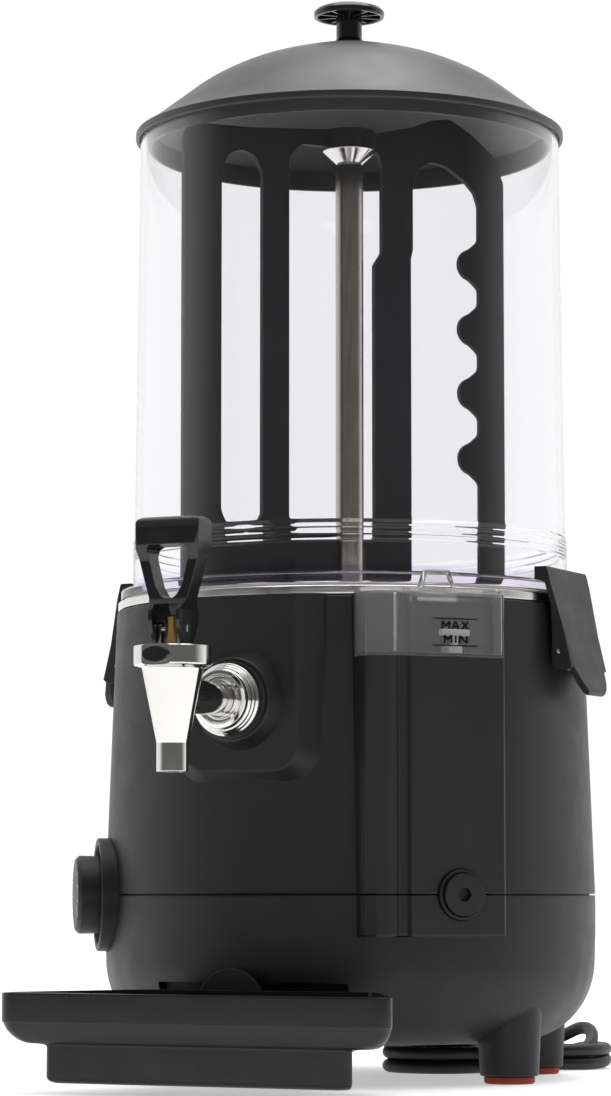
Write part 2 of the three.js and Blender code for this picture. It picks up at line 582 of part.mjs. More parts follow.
// ---------------------------------------------------------------- drip tray
function trayOutline(d, f = d) {
  const yf = TRAY_FRONT + f, yr = TRAY_REAR - d;
  const hf = 104 - 1.12 * d, hr = 66.5 - 1.12 * d, r = Math.max(4, 8 - d * 0.2);
  const half = [];
  for (let i = 0; i <= 3; i++) {
    const a = (i / 3) * (Math.PI / 2);
    half.push([hf - r + r * Math.sin(a), yf + r - r * Math.cos(a)]);
  }
  half.push([hr + 1.6, yr - 5], [hr - 0.6, yr - 1.6], [hr - 4.5, yr]);
  return [...half, ...half.map(([x, y]) => [-x, y]).reverse()].map(([x, y]) => [x + TRAY_X, y]);
}
const trayShell = loft([
  { z: 5, pts: trayOutline(22.5, 10.5) }, { z: 7.5, pts: trayOutline(20, 8) }, { z: 23.6, pts: trayOutline(20, 8) }, { z: 24, pts: trayOutline(9, 6.5) },
  { z: 33.8, pts: trayOutline(0.6) }, { z: 34.6, pts: trayOutline(0) }, { z: 48, pts: trayOutline(0) }, { z: 48.8, pts: trayOutline(0.8) },
]);
const trayHollow = loft([
  { z: 8, pts: trayOutline(23.2, 11.2) }, { z: 26.4, pts: trayOutline(23.2, 11.2) }, { z: 26.8, pts: trayOutline(12, 10) }, { z: 35.4, pts: trayOutline(5) },
  { z: 44.2, pts: trayOutline(5) }, { z: 44.22, pts: trayOutline(2.8) }, { z: 50, pts: trayOutline(2.8) },
]);
const hookLip = (x0, x1) => join(box(x0, x1, -142.4, -135.6, 44.4, 46.9), box(x0, x1, -138.1, -135.6, 36, 46.9));
add('drip_tray', join(cut(trayShell, trayHollow), hookLip(-47, -25), hookLip(25, 47)), 'gloss');
const gridPlate = loft([{ z: 44.5, pts: trayOutline(3.3) }, { z: 46.5, pts: trayOutline(3.3) }]);
const gridSlots = [];
for (let k = -7; k <= 7; k++) {
  const x = TRAY_X + k * 12;
  const reach = Math.abs(k) >= 6 ? -186 : Math.abs(k) === 5 ? -158 : -151;
  gridSlots.push(box(x - 2.6, x + 2.6, -211, Math.abs(k) === 7 ? -199 : -184.5, 40, 50));
  if (reach > -180) gridSlots.push(box(x - 2.6, x + 2.6, -179.5, reach, 40, 50));
}
add('drip_grid', cut(gridPlate, ...gridSlots), 'gloss');
const tab = [[-18.5, 41]];
for (let i = 0; i <= 12; i++) tab.push([-18.5 * Math.cos((i / 12) * Math.PI), 41 + 18.5 * Math.sin((i / 12) * Math.PI)]);
add(
  'tray_bracket',
  cut(
    join(box(-51, 51, -141, -138.5, 31, 44.1), prismY(tab, -141, -138.5), box(-51, 51, -139, -109, 41, 43.5), box(-51, 51, -111.5, -109, 41, 62)),
    box(23, 49, -138.5, -135, 38, 48),
    box(-49, -23, -138.5, -135, 38, 48)
  ),
  'black'
);

// ---------------------------------------------------------------- mains lead
// The lead leaves the gland, drops to the floor, is folded into a tied hank behind
// the right rear leg, and its tail runs behind the machine to the plug.
const HANK = { cx: 41.5, cy: 103.5, e: [0.51, 0.86], f: [0.86, -0.51], c: 39, r: 21, pitch: 7.3, waist: 4 };
const hank = (e, f, z) => [HANK.cx + e * HANK.e[0] + f * HANK.f[0], HANK.cy + e * HANK.e[1] + f * HANK.f[1], z];
const smooth = (t) => { const x = Math.min(1, Math.max(0, t)); return x * x * (3 - 2 * x); };
const halfWidth = (e, off) => HANK.waist + off + (HANK.r - HANK.waist) * smooth((Math.abs(e) - 8) / (HANK.c - 8));
const hankOutline = [];
const grow = 4.1;
for (let i = 0; i <= 10; i++) hankOutline.push([HANK.c + (HANK.r + HANK.pitch + grow) * Math.cos(rad(-90 + 18 * i)), (HANK.r + HANK.pitch + grow) * Math.sin(rad(-90 + 18 * i))]);
for (const e of [34, 26, 18, 8, -8, -18, -26, -34]) hankOutline.push([e, halfWidth(e, HANK.pitch) + grow]);
for (let i = 0; i <= 10; i++) hankOutline.push([-HANK.c + (HANK.r + HANK.pitch + grow) * Math.cos(rad(90 + 18 * i)), (HANK.r + HANK.pitch + grow) * Math.sin(rad(90 + 18 * i))]);
for (const e of [-34, -26, -18, -8, 8, 18, 26, 34]) hankOutline.push([e, -halfWidth(e, HANK.pitch) - grow]);
const hankSolid = (g, z0, z1, from = -200) => {
  const pts = hankOutline.map(([e, f]) => {
    const l = Math.hypot(e, f);
    return hank(e + (e / l) * g, f + (f / l) * g, 0).slice(0, 2);
  });
  const s = prism(pts, z0, z1);
  if (from < -100) return s;
  const far = [hank(from, -60, 0), hank(from + 80, -60, 0), hank(from + 80, 60, 0), hank(from, 60, 0)].map((p) => p.slice(0, 2));
  return s.intersect(prism(far, z0, z1));
};
const hankWhole = join(hankSolid(0, 0.2, 18.4), hankSolid(0, 18, 26, 50));
const hankClear = hankSolid(0.35, -5, 40);
const leadPath = [
  [-51.3, 141, 60], [-54, 148.5, 59], [-56.8, 156, 54.5], [-58.6, 161.5, 46], [-59, 164.5, 35], [-57.5, 165, 23], [-53, 163.5, 12.5],
  [-45, 160, 5.8], [-34, 155.5, 3.8], [-20, 150, 3.7], [-5, 143.5, 3.7], [8, 135, 3.7], hank(7, -31, 3.7), hank(0, -21, 3.7), hank(-6, -16.8, 3.7),
];
const tailPath = [
  hank(67, -8, 10.4), hank(66.6, -16, 9.2), hank(66, -25, 7.2), hank(65.4, -40, 4.2), [25, 188, 3.7], [5, 191, 3.7], [-15, 191, 3.7], [-33, 188.6, 3.7],
  [-46, 186, 5.8], [-56, 183.4, 11.2], [-64, 181.8, 16.4], [-70, 181.1, 18.5], [-74, 181, 18.8], [-77.6, 181, 18.8],
];
add('power_cord', cut(sweep(leadPath, CORD_D / 2, 0, 8, 22), hankClear), 'rubber');
add('cord_hank', hankWhole, 'rubber');
add('cord_tail', cut(sweep(tailPath, CORD_D / 2, 0, 8, 16), hankClear), 'rubber');
add(
  'plug',
  toSolid(
    new THREE.LatheGeometry(
      [[0, 78], [5, 78], [7, 94], [12, 98], [12, 106], [18.4, 109], [18.4, 119.6], [0, 119.6]].map(([r, n]) => new THREE.Vector2(r, n)),
      20
    ).rotateZ(Math.PI / 2)
  )
    .add(cylX(-9.5, 0, 2.4, -138.5, -119, 10))
    .add(cylX(9.5, 0, 2.4, -138.5, -119, 10))
    .translate([0, 181, 18.8]),
  'rubber'
);
add(
  'cord_gland',
  atPhi(
    latheFront([[3.8, 122], [8, 122], [8, 129.9], [11, 129.9], [11, 133], [7.5, 134], [5.2, 149.7], [3.8, 149.7]], GLAND_Z, 16),
    GLAND_PHI
  ),
  'rubber'
);

export default machine;
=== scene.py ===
import math

import bmesh
import bpy
from mathutils import Matrix, Vector


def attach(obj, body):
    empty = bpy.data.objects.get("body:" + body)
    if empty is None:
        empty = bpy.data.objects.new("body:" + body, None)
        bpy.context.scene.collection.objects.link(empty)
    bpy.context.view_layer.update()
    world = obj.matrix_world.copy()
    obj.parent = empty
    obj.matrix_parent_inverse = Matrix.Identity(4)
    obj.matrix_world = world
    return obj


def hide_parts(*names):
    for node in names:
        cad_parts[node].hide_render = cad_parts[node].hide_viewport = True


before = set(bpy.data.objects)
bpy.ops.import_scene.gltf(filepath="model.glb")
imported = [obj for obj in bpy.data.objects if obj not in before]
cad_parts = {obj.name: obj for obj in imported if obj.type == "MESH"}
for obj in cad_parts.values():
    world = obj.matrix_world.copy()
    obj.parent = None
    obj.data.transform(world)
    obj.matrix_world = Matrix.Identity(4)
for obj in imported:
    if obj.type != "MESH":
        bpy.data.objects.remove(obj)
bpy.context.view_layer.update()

scene = bpy.context.scene
MM, YO = 0.001, 46.0
rad = math.radians

# ------------------------------------------------------------------ camera
DIST, AZ, PITCH, YAW, EYE = 1925.0, 25.0, 5.5, 0.708, 96.0
cam_data = bpy.data.cameras.new("camera")
cam_data.sensor_width = 36.0
cam_data.lens = 118.25
cam_data.clip_start, cam_data.clip_end = 0.05, 60.0
camera = bpy.data.objects.new("camera", cam_data)
scene.collection.objects.link(camera)
camera.location = (DIST * math.sin(rad(AZ)) * MM, (-DIST * math.cos(rad(AZ)) + YO) * MM, EYE * MM)
heading = rad(90 + AZ + YAW)
aim = Vector((math.cos(heading) * math.cos(rad(PITCH)), math.sin(heading) * math.cos(rad(PITCH)), math.sin(rad(PITCH))))
camera.rotation_euler = aim.to_track_quat("-Z", "Y").to_euler()
scene.camera = camera

# ------------------------------------------------------------------ mains lead
CORD_D = 7.0


def smooth(t):
    t = min(max(t, 0.0), 1.0)
    return t * t * (3 - 2 * t)


def flow(points, step=2.5, closed=False):
    """Points along a centripetal curve through the given 3-D points, about step apart."""
    p = [Vector(q) for q in points]
    ends = [p[0] * 2 - p[1], *p, p[-1] * 2 - p[-2]]
    out = [p[0]]
    for i in range(1, len(ends) - 2):
        a, b, c, d = ends[i - 1], ends[i], ends[i + 1], ends[i + 2]
        t0 = 0.0
        t1 = t0 + max((b - a).length, 1e-6) ** 0.5
        t2 = t1 + max((c - b).length, 1e-6) ** 0.5
        t3 = t2 + max((d - c).length, 1e-6) ** 0.5
        n = max(1, round((c - b).length / step))
        for k in range(1, n + 1):
            t = t1 + (t2 - t1) * k / n
            a1 = a * ((t1 - t) / (t1 - t0)) + b * ((t - t0) / (t1 - t0))
            a2 = b * ((t2 - t) / (t2 - t1)) + c * ((t - t1) / (t2 - t1))
            a3 = c * ((t3 - t) / (t3 - t2)) + d * ((t - t2) / (t3 - t2))
            b1 = a1 * ((t2 - t) / (t2 - t0)) + a2 * ((t - t0) / (t2 - t0))
            b2 = a2 * ((t3 - t) / (t3 - t1)) + a3 * ((t - t1) / (t3 - t1))
            out.append(b1 * ((t2 - t) / (t2 - t1)) + b2 * ((t - t1) / (t2 - t1)))
    return out


def hank(e, f, z):
    return (41.5 + 0.51 * e + 0.86 * f, 103.5 + 0.86 * e - 0.51 * f, z)


def cord_line():
    """Centreline: down from the gland, four turns of a tied hank behind the rear leg, then along the floor to the plug."""
    lead = [
        (-50.2, 137.5, 60), (-51.3, 141, 60), (-54, 148.5, 59), (-56.8, 156, 54.5), (-58.6, 161.5, 46), (-59, 164.5, 35),
        (-57.5, 165, 23), (-53, 163.5, 12.5), (-45, 160, 5.8), (-34, 155.5, 3.9), (-20, 150, 3.7), (-5, 143.5, 3.7),
        (8, 135, 3.7), hank(7, -31, 3.7), hank(0, -21, 3.7), hank(-7, -17.0, 3.7),
    ]
    turns = []
    C = 39.0

    def lane(e, off):
        return 4 + off + 17 * smooth((abs(e) - 8) / (C - 8))

    def run(e0, e1, side, off0, off1, z, n=12):
        for i in range(n):
            t = i / n
            e = e0 + (e1 - e0) * t
            turns.append((e, side * lane(e, off0 + (off1 - off0) * smooth(t * 1.15)), z))

    def end(s, r0, r1, z0, z1, lift=0.0, upto=180.0, grow=(0.0, 1.0), n=12):
        for i in range(n):
            t = rad(upto) * i / n
            r = r0 + (r1 - r0) * smooth((t / math.pi - grow[0]) / (grow[1] - grow[0]))
            z = z0 + (z1 - z0) * smooth(t / math.pi) + lift * math.sin(t) ** 2
            turns.append((s * (C + r * math.sin(t)), s * r * math.cos(t), z))

    a, b = 3.6, 10.8
    run(-19, -C, -1, 7.3, 7.3, a, 4)
    end(-1, 28.3, 28.3, a, a)
    run(-C, C, 1, 7.3, 7.3, a)
    end(1, 28.3, 28.3, a, a, lift=2.0)
    run(C, 0, -1, 7.3, 0, a, 7)
    run(0, -C, -1, 0, 0, a, 7)
    end(-1, 21, 21, a, a)
    run(-C, C, 1, 0, 0, a)
    end(1, 21, 21, a, b)
    run(C, -C, -1, 0, 0, b)
    end(-1, 21, 21, b, b)
    run(-C, C, 1, 0, 0, b)
    end(1, 21, 28.3, b, b, lift=11.0, grow=(0.55, 0.84), n=16)
    run(C, -C, -1, 7.3, 7.3, b)
    end(-1, 28.3, 28.3, b, b)
    run(-C, C, 1, 7.3, 7.3, b)
    end(1, 28.3, 28.3, b, b, lift=0.0, upto=90.0, n=7)
    tail = [
        hank(67.3, 0, 10.8), hank(67, -8, 10.4), hank(66.6, -16, 9.2), hank(66, -25, 7.2), hank(65.4, -40, 4.2), (25, 188, 3.7),
        (5, 191, 3.7), (-15, 191, 3.7), (-33, 188.6, 3.7), (-46, 186, 5.8), (-56, 183.4, 11.2), (-64, 181.8, 16.4),
        (-70, 181.1, 18.5), (-74, 181, 18.8), (-80, 181, 18.8), (-86, 181, 18.8),
    ]
    return flow([*lead, *[hank(*t) for t in turns], *tail])


line = cord_line()

# ------------------------------------------------------------------ materials


def material(name, color, rough=0.5, metal=0.0, grain=None, rough_by=None, tint=0.0, edge=0.0, stretch=(1, 1, 1), ior=1.5, spec=0.5, coat=0.0, aniso=0.0):
    """A finish with mottled colour, uneven gloss, fine grain and softened edges, all from the piece's own coordinates."""
    m = bpy.data.materials.new(name)
    m.use_nodes = True
    nt = m.node_tree
    n, l = nt.nodes, nt.links
    s = n["Principled BSDF"]
    s.inputs["Metallic"].default_value = metal
    s.inputs["Roughness"].default_value = rough
    s.inputs["IOR"].default_value = ior
    s.inputs["Specular IOR Level"].default_value = spec
    s.inputs["Coat Weight"].default_value = coat
    s.inputs["Anisotropic"].default_value = aniso
    m.diffuse_color = (*color, 1)
    co = n.new("ShaderNodeTexCoord")
    mp = n.new("ShaderNodeMapping")
    mp.inputs["Scale"].default_value = stretch
    l.new(co.outputs["Object"], mp.inputs["Vector"])
    base = n.new("ShaderNodeTexNoise")
    base.inputs["Scale"].default_value = 38.0
    base.inputs["Detail"].default_value = 3.0
    l.new(mp.outputs["Vector"], base.inputs["Vector"])
    mix = n.new("ShaderNodeMix")
    mix.data_type = "RGBA"
    mix.inputs[6].default_value = (*[c * (1 - tint) for c in color], 1)
    mix.inputs[7].default_value = (*[min(1, c * (1 + tint)) for c in color], 1)
    l.new(base.outputs["Fac"], mix.inputs["Factor"])
    l.new(mix.outputs[2], s.inputs["Base Color"])
    if rough_by:
        scale, low, high = rough_by
        rn = n.new("ShaderNodeTexNoise")
        rn.inputs["Scale"].default_value = scale
        rn.inputs["Detail"].default_value = 4.0
        l.new(mp.outputs["Vector"], rn.inputs["Vector"])
        mr = n.new("ShaderNodeMapRange")
        mr.inputs["From Min"].default_value, mr.inputs["From Max"].default_value = 0.3, 0.7
        mr.inputs["To Min"].default_value, mr.inputs["To Max"].default_value = low, high
        l.new(rn.outputs["Fac"], mr.inputs["Value"])
        l.new(mr.outputs["Result"], s.inputs["Roughness"])
    normal = None
    if edge:
        bv = n.new("ShaderNodeBevel")
        bv.samples = 4
        bv.inputs["Radius"].default_value = edge * MM
        normal = bv.outputs["Normal"]
    if grain:
        scale, strength, depth = grain
        gn = n.new("ShaderNodeTexNoise")
        gn.inputs["Scale"].default_value = scale
        gn.inputs["Detail"].default_value = 2.0
        l.new(mp.outputs["Vector"], gn.inputs["Vector"])
        bp = n.new("ShaderNodeBump")
        bp.inputs["Strength"].default_value = strength
        bp.inputs["Distance"].default_value = depth * MM
        l.new(gn.outputs["Fac"], bp.inputs["Height"])
        if normal:
            l.new(normal, bp.inputs["Normal"])
        normal = bp.outputs["Normal"]
    if normal:
        l.new(normal, s.inputs["Normal"])
    return m


def clear_material(name, tint, rough=0.02, ior=1.45, clarity=1.0, low=None):
    """Clear plastic that lets lamps through; below low = (z, colour) it takes that colour."""
    m = bpy.data.materials.new(name)
    m.use_nodes = True
    nt = m.node_tree
    n, l = nt.nodes, nt.links
    s = n["Principled BSDF"]
    s.inputs["Transmission Weight"].default_value = clarity
    s.inputs["IOR"].default_value = ior
    s.inputs["Roughness"].default_value = rough
    co = n.new("ShaderNodeTexCoord")
    nz = n.new("ShaderNodeTexNoise")
    nz.inputs["Scale"].default_value = 9.0
    l.new(co.outputs["Object"], nz.inputs["Vector"])
    mix = n.new("ShaderNodeMix")
    mix.data_type = "RGBA"
    mix.inputs[6].default_value = (*[min(1, c * 0.985) for c in tint], 1)
    mix.inputs[7].default_value = (*tint, 1)
    l.new(nz.outputs["Fac"], mix.inputs["Factor"])
    body = mix.outputs[2]
    if low:
        sep = n.new("ShaderNodeSeparateXYZ")
        l.new(co.outputs["Object"], sep.inputs["Vector"])
        edge = n.new("ShaderNodeMapRange")
        edge.inputs["From Min"].default_value, edge.inputs["From Max"].default_value = (low[0] - 0.8) * MM, (low[0] + 0.8) * MM
        l.new(sep.outputs["Z"], edge.inputs["Value"])
        foot = n.new("ShaderNodeMix")
        foot.data_type = "RGBA"
        foot.inputs[6].default_value = (*low[1], 1)
        l.new(edge.outputs["Result"], foot.inputs["Factor"])
        l.new(body, foot.inputs[7])
        body = foot.outputs[2]
    l.new(body, s.inputs["Base Color"])
    through = n.new("ShaderNodeBsdfTransparent")
    through.inputs["Color"].default_value = (*[c * 0.97 for c in tint], 1)
    path = n.new("ShaderNodeLightPath")
    both = n.new("ShaderNodeMixShader")
    l.new(path.outputs["Is Shadow Ray"], both.inputs["Fac"])
    l.new(s.outputs["BSDF"], both.inputs[1])
    l.new(through.outputs["BSDF"], both.inputs[2])
    l.new(both.outputs["Shader"], n["Material Output"].inputs["Surface"])
    return m


BLACK = material("black_plastic", (0.0110, 0.0113, 0.0122), 0.46, grain=(1500, 0.10, 0.25), rough_by=(60, 0.42, 0.52), tint=0.10, edge=0.7, spec=0.34)
LID = material("lid_plastic", (0.016, 0.0158, 0.0155), 0.40, grain=(900, 0.05, 0.2), rough_by=(45, 0.36, 0.44), tint=0.10, edge=0.5, spec=0.55)
STIR = material("stirrer_plastic", (0.015, 0.015, 0.018), 0.55, grain=(1100, 0.08, 0.2), rough_by=(60, 0.5, 0.6), tint=0.10, edge=0.4, spec=0.25)
GLOSS = material("gloss_black", (0.009, 0.009, 0.010), 0.16, rough_by=(40, 0.12, 0.22), tint=0.08, edge=0.7, grain=(120, 0.02, 0.2), spec=0.5)
TRAY = material("tray_plastic", (0.0100, 0.0100, 0.0110), 0.24, rough_by=(35, 0.18, 0.32), tint=0.08, edge=0.5, grain=(160, 0.03, 0.2), spec=0.36)
RUBBER = material("black_rubber", (0.012, 0.012, 0.012), 0.72, rough_by=(80, 0.62, 0.8), tint=0.15, grain=(900, 0.12, 0.2))
CABLE = material("cable_rubber", (0.011, 0.011, 0.012), 0.45, rough_by=(70, 0.38, 0.55), tint=0.12, grain=(700, 0.06, 0.2))
PAD = material("foot_rubber", (0.32, 0.035, 0.012), 0.65, rough_by=(80, 0.55, 0.75), tint=0.12, grain=(800, 0.1, 0.2))
STEEL = material("stainless", (0.70, 0.685, 0.66), 0.20, 1.0, rough_by=(60, 0.15, 0.27), tint=0.04, edge=0.3, grain=(60, 0.05, 0.05), stretch=(1, 1, 14))
TUBE = material("tube_steel", (0.50, 0.47, 0.43), 0.16, 1.0, rough_by=(80, 0.12, 0.22), tint=0.05, grain=(90, 0.03, 0.05), stretch=(6, 6, 0.6))
CHROME = material("chrome", (0.70, 0.693, 0.672), 0.07, 1.0, rough_by=(50, 0.05, 0.10), tint=0.03, edge=0.35, grain=(90, 0.015, 0.08))
BRASS = material("brass", (0.38, 0.25, 0.09), 0.28, 1.0, rough_by=(90, 0.22, 0.36), tint=0.08)
WHITE = material("white_plastic", (0.72, 0.71, 0.66), 0.42, rough_by=(70, 0.38, 0.5), tint=0.04, edge=0.25)
SEAL = material("silicone", (0.55, 0.53, 0.47), 0.55, rough_by=(60, 0.48, 0.62), tint=0.06)
ZINC = material("zinc_steel", (0.42, 0.43, 0.44), 0.40, 1.0, rough_by=(50, 0.32, 0.5), tint=0.10)
INK = material("ink", (0.003, 0.003, 0.0035), 0.7, rough_by=(90, 0.6, 0.8), tint=0.1, spec=0.12)
PRINT = material("pale_print", (0.55, 0.55, 0.54), 0.55, rough_by=(90, 0.5, 0.6), tint=0.05)
CLEAR = clear_material("clear_plastic", (0.955, 0.95, 0.965), low=(262.0, (0.82, 0.79, 0.91)))
CLEAR_TANK = clear_material("clear_tank", (0.905, 0.90, 0.91), 0.05, clarity=0.95)

# ------------------------------------------------------------------ mesh helpers
bench = bpy.data.collections.new("bench")
scene.collection.children.link(bench)


def build(verts, faces):
    me = bpy.data.meshes.new("work")
    me.from_pydata([tuple(v) for v in verts], [], faces)
    bm = bmesh.new()
    bm.from_mesh(me)
    bmesh.ops.remove_doubles(bm, verts=bm.verts, dist=1e-4)
    bmesh.ops.recalc_face_normals(bm, faces=bm.faces)
    bm.to_mesh(me)
    bm.free()
    o = bpy.data.objects.new("work", me)
    bench.objects.link(o)
    return o


def soft(points, r=1.0, steps=4, closed=True):
    """An outline with its corners rounded; a point may carry its own radius as a third value."""
    out, n = [], len(points)
    for i, p in enumerate(points):
        rr = p[2] if len(p) > 2 else r
        q, a, b = Vector(p[:2]), Vector(points[i - 1][:2]), Vector(points[(i + 1) % n][:2])
        if rr <= 0 or (not closed and i in (0, n - 1)):
            out.append((q.x, q.y))
            continue
        a, b = a - q, b - q
        ang = a.angle(b, math.pi)
        if ang > rad(174) or a.length < 1e-6 or b.length < 1e-6:
            out.append((q.x, q.y))
            continue
        t = min(rr / math.tan(ang / 2), 0.46 * a.length, 0.46 * b.length)
        s, e = q + a.normalized() * t, q + b.normalized() * t
        for k in range(steps + 1):
            u = k / steps
            w = s * (1 - u) ** 2 + q * (2 * u * (1 - u)) + e * u * u
            out.append((w.x, w.y))
    return out


def arc(cx, cy, r, a0, a1, n):
    return [(cx + r * math.cos(rad(a0 + (a1 - a0) * i / n)), cy + r * math.sin(rad(a0 + (a1 - a0) * i / n))) for i in range(n + 1)]


def lathe(profile, seg=144, r=0.0, steps=3):
    """Body turned about Z from a closed (radius, z) profile, its corners rounded by r."""
    pts = [(p[0], p[1], 0.0 if p[0] < 1e-6 else (p[2] if len(p) > 2 else r)) for p in profile]
    pts = soft(pts, r, steps)
    verts, faces, rings = [], [], []
    for rr, z in pts:
        if rr < 1e-6:
            rings.append([len(verts)])
            verts.append((0, 0, z))
        else:
            rings.append(list(range(len(verts), len(verts) + seg)))
            verts += [(rr * math.cos(2 * math.pi * k / seg), rr * math.sin(2 * math.pi * k / seg), z) for k in range(seg)]
    n = len(pts)
    for i in range(n):
        a, b = rings[i], rings[(i + 1) % n]
        if len(a) == 1 and len(b) == 1:
            continue
        for k in range(seg):
            j = (k + 1) % seg
            if len(a) == 1:
                faces.append((a[0], b[k], b[j]))
            elif len(b) == 1:
                faces.append((a[k], a[j], b[0]))
            else:
                faces.append((a[k], a[j], b[j], b[k]))
    return build(verts, faces)


def moved(o, fn):
    for v in o.data.vertices:
        v.co = fn(*v.co)
    bm = bmesh.new()
    bm.from_mesh(o.data)
    bmesh.ops.recalc_face_normals(bm, faces=bm.faces)
    bm.to_mesh(o.data)
    bm.free()
    return o


def lathe_front(profile, z, seg=72, r=0.0, x=0.0, steps=3):
    """Body turned about an axis toward the front; profile of (radius, distance toward the front)."""
    return moved(lathe(profile, seg, r, steps), lambda a, b, h: (x + a, -h, z + b))


def lathe_side(profile, y, z, seg=40, r=0.0):
    """Body turned about an axis along X; profile of (radius, x)."""
    return moved(lathe(profile, seg, r), lambda a, b, h: (h, y + a, z + b))


def turn(o, phi):
    o.data.transform(Matrix.Rotation(rad(phi), 4, "Z"))
    return o


def shift(o, x=0.0, y=0.0, z=0.0):
    o.data.transform(Matrix.Translation((x, y, z)))
    return o


def inset(points, d):
    area = sum(points[i - 1][0] * p[1] - p[0] * points[i - 1][1] for i, p in enumerate(points))
    s = 1 if area > 0 else -1
    out, n = [], len(points)
    for i, p in enumerate(points):
        q, a, b = Vector(p), Vector(points[i - 1]), Vector(points[(i + 1) % n])
        e1, e2 = (q - a), (b - q)
        if e1.length < 1e-7 or e2.length < 1e-7:
            out.append(tuple(q))
            continue
        e1.normalize()
        e2.normalize()
        n1, n2 = Vector((-e1.y, e1.x)) * s, Vector((-e2.y, e2.x)) * s
        m = n1 + n2
        if m.length < 1e-5:
            m = n1
        m.normalize()
        out.append(tuple(q + m * (d / max(m.dot(n1), 0.6))))
    return out


def loft(levels):
    """Closed body through outlines of equal count, each a list of 3-D points."""
    count = len(levels[0])
    verts = [p for level in levels for p in level]
    faces = []
    for k in range(len(levels) - 1):
        for i in range(count):
            j = (i + 1) % count
            a, b = k * count, (k + 1) * count
            faces.append((a + i, a + j, b + j, b + i))
    faces.append(tuple(range(count)))
    faces.append(tuple(range((len(levels) - 1) * count, len(levels) * count)))
    return build(verts, faces)


PLANES = {"xy": lambda p, h: (p[0], p[1], h), "xz": lambda p, h: (p[0], h, p[1]), "yz": lambda p, h: (h, p[0], p[1])}


def prism(points, a, b, bevel=(0.0, 0.0), plane="xy", steps=3):
    """An outline drawn from a to b along the third axis, with the two rims rounded."""
    if not isinstance(bevel, tuple):
        bevel = (bevel, bevel)
    put = PLANES[plane]
    levels = []
    lo, hi = bevel
    if lo > 0:
        levels += [(a + lo * (1 - math.cos(rad(90 * k / steps))), lo * (1 - math.sin(rad(90 * k / steps)))) for k in range(steps + 1)]
        levels = [(a + lo * (1 - math.sin(rad(90 - 90 * k / steps))), lo * (1 - math.sin(rad(90 * k / steps)))) for k in range(steps + 1)]
    else:
        levels.append((a, 0.0))
    if hi > 0:
        levels += [(b - hi * (1 - math.sin(rad(90 * k / steps))), hi * (1 - math.cos(rad(90 * k / steps)))) for k in range(steps + 1)]
    else:
        levels.append((b, 0.0))
    return loft([[put(p, h) for p in (inset(points, d) if d > 0 else points)] for h, d in levels])


def block(x0, x1, y0, y1, z0, z1, r=0.0, b=0.0):
    o = [(x0, y0), (x1, y0), (x1, y1), (x0, y1)]
    return prism(soft(o, r) if r else o, z0, z1, b)


def cyl_z(x, y, r0, r1, z0, z1, seg=48, r=0.0):
    return shift(lathe([(0, z0), (r0, z0), (r1, z1), (0, z1)], seg, r), x, y)


def cyl_y(x, z, r0, r1, y0, y1, seg=48, r=0.0):
    """Along Y: r0 at the rear end y1 and r1 at the front end y0."""
    return lathe_front([(0, -y1), (r0, -y1), (r1, -y0), (0, -y0)], z, seg, r, x)


def cyl_x(y, z, rr, x0, x1, seg=40, r=0.0):
    return lathe_side([(0, x0), (rr, x0), (rr, x1), (0, x1)], y, z, seg, r)


def pipe(points, radius, sides=16):
    """A round bar along a line of points; radius may be a list, one for each point."""
    p = [Vector(q) for q in points]
    up = Vector((0.3, 0.2, 1)).normalized()
    rings = []
    for i, q in enumerate(p):
        d = (p[min(i + 1, len(p) - 1)] - p[max(i - 1, 0)]).normalized()
        u = (up - d * up.dot(d)).normalized()
        v = d.cross(u)
        up = u
        rr = radius[i] if isinstance(radius, (list, tuple)) else radius
        rings.append([tuple(q + (u * math.cos(2 * math.pi * k / sides) + v * math.sin(2 * math.pi * k / sides)) * rr) for k in range(sides)])
    return loft(rings)


def combine(a, others, operation):
    for b in others:
        m = a.modifiers.new("combine", "BOOLEAN")
        m.operation = operation
        m.solver = "MANIFOLD"
        m.object = b
    bpy.context.view_layer.update()
    dg = bpy.context.evaluated_depsgraph_get()
    me = bpy.data.meshes.new_from_object(a.evaluated_get(dg), depsgraph=dg)
    a.modifiers.clear()
    a.data = me
    for b in others:
        bpy.data.objects.remove(b)
    return a


def join(a, *others):
    return combine(a, others, "UNION")


def cut(a, *others):
    return combine(a, others, "DIFFERENCE")


def meet(a, *others):
    return combine(a, others, "INTERSECT")


made = {}


def piece(name, o, body, mat, nodes=(), angle=33.0, weigh=True):
    """Puts a finished shape into the row frame, on its CAD body."""
    me = o.data
    me.name = name
    me.transform(Matrix.Translation((0, YO * MM, 0)) @ Matrix.Scale(MM, 4))
    bm = bmesh.new()
    bm.from_mesh(me)
    bmesh.ops.remove_doubles(bm, verts=bm.verts, dist=2e-6)
    bmesh.ops.dissolve_degenerate(bm, edges=bm.edges, dist=1e-6)
    bm.to_mesh(me)
    bm.free()
    me.materials.clear()
    me.materials.append(mat)
    me.shade_smooth()
    me.set_sharp_from_angle(angle=rad(angle))
    bench.objects.unlink(o)
    scene.collection.objects.link(o)
    o.name = name
    if weigh:
        w = o.modifiers.new("normals", "WEIGHTED_NORMAL")
        w.keep_sharp = True
    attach(o, body)
    if nodes:
        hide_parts(*nodes)
    made[name] = o
    return o


def keep(node, mat):
    """A CAD node shown as it is, in its finish."""
    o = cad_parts[node]
    o.data.materials.clear()
    o.data.materials.append(mat)


# ------------------------------------------------------------------ housings
PHI_COLUMN, PHI_KNOB, PHI_GLAND, PHI_SWITCH = 49, -56, 200, -105
SEAM = 96.0


def bowl_curve(off, n=22):
    return [(90 + (39.5 - off) * math.sin(rad(90 * i / n)), 62 - (42 - off) * math.cos(rad(90 * i / n))) for i in range(n + 1)]


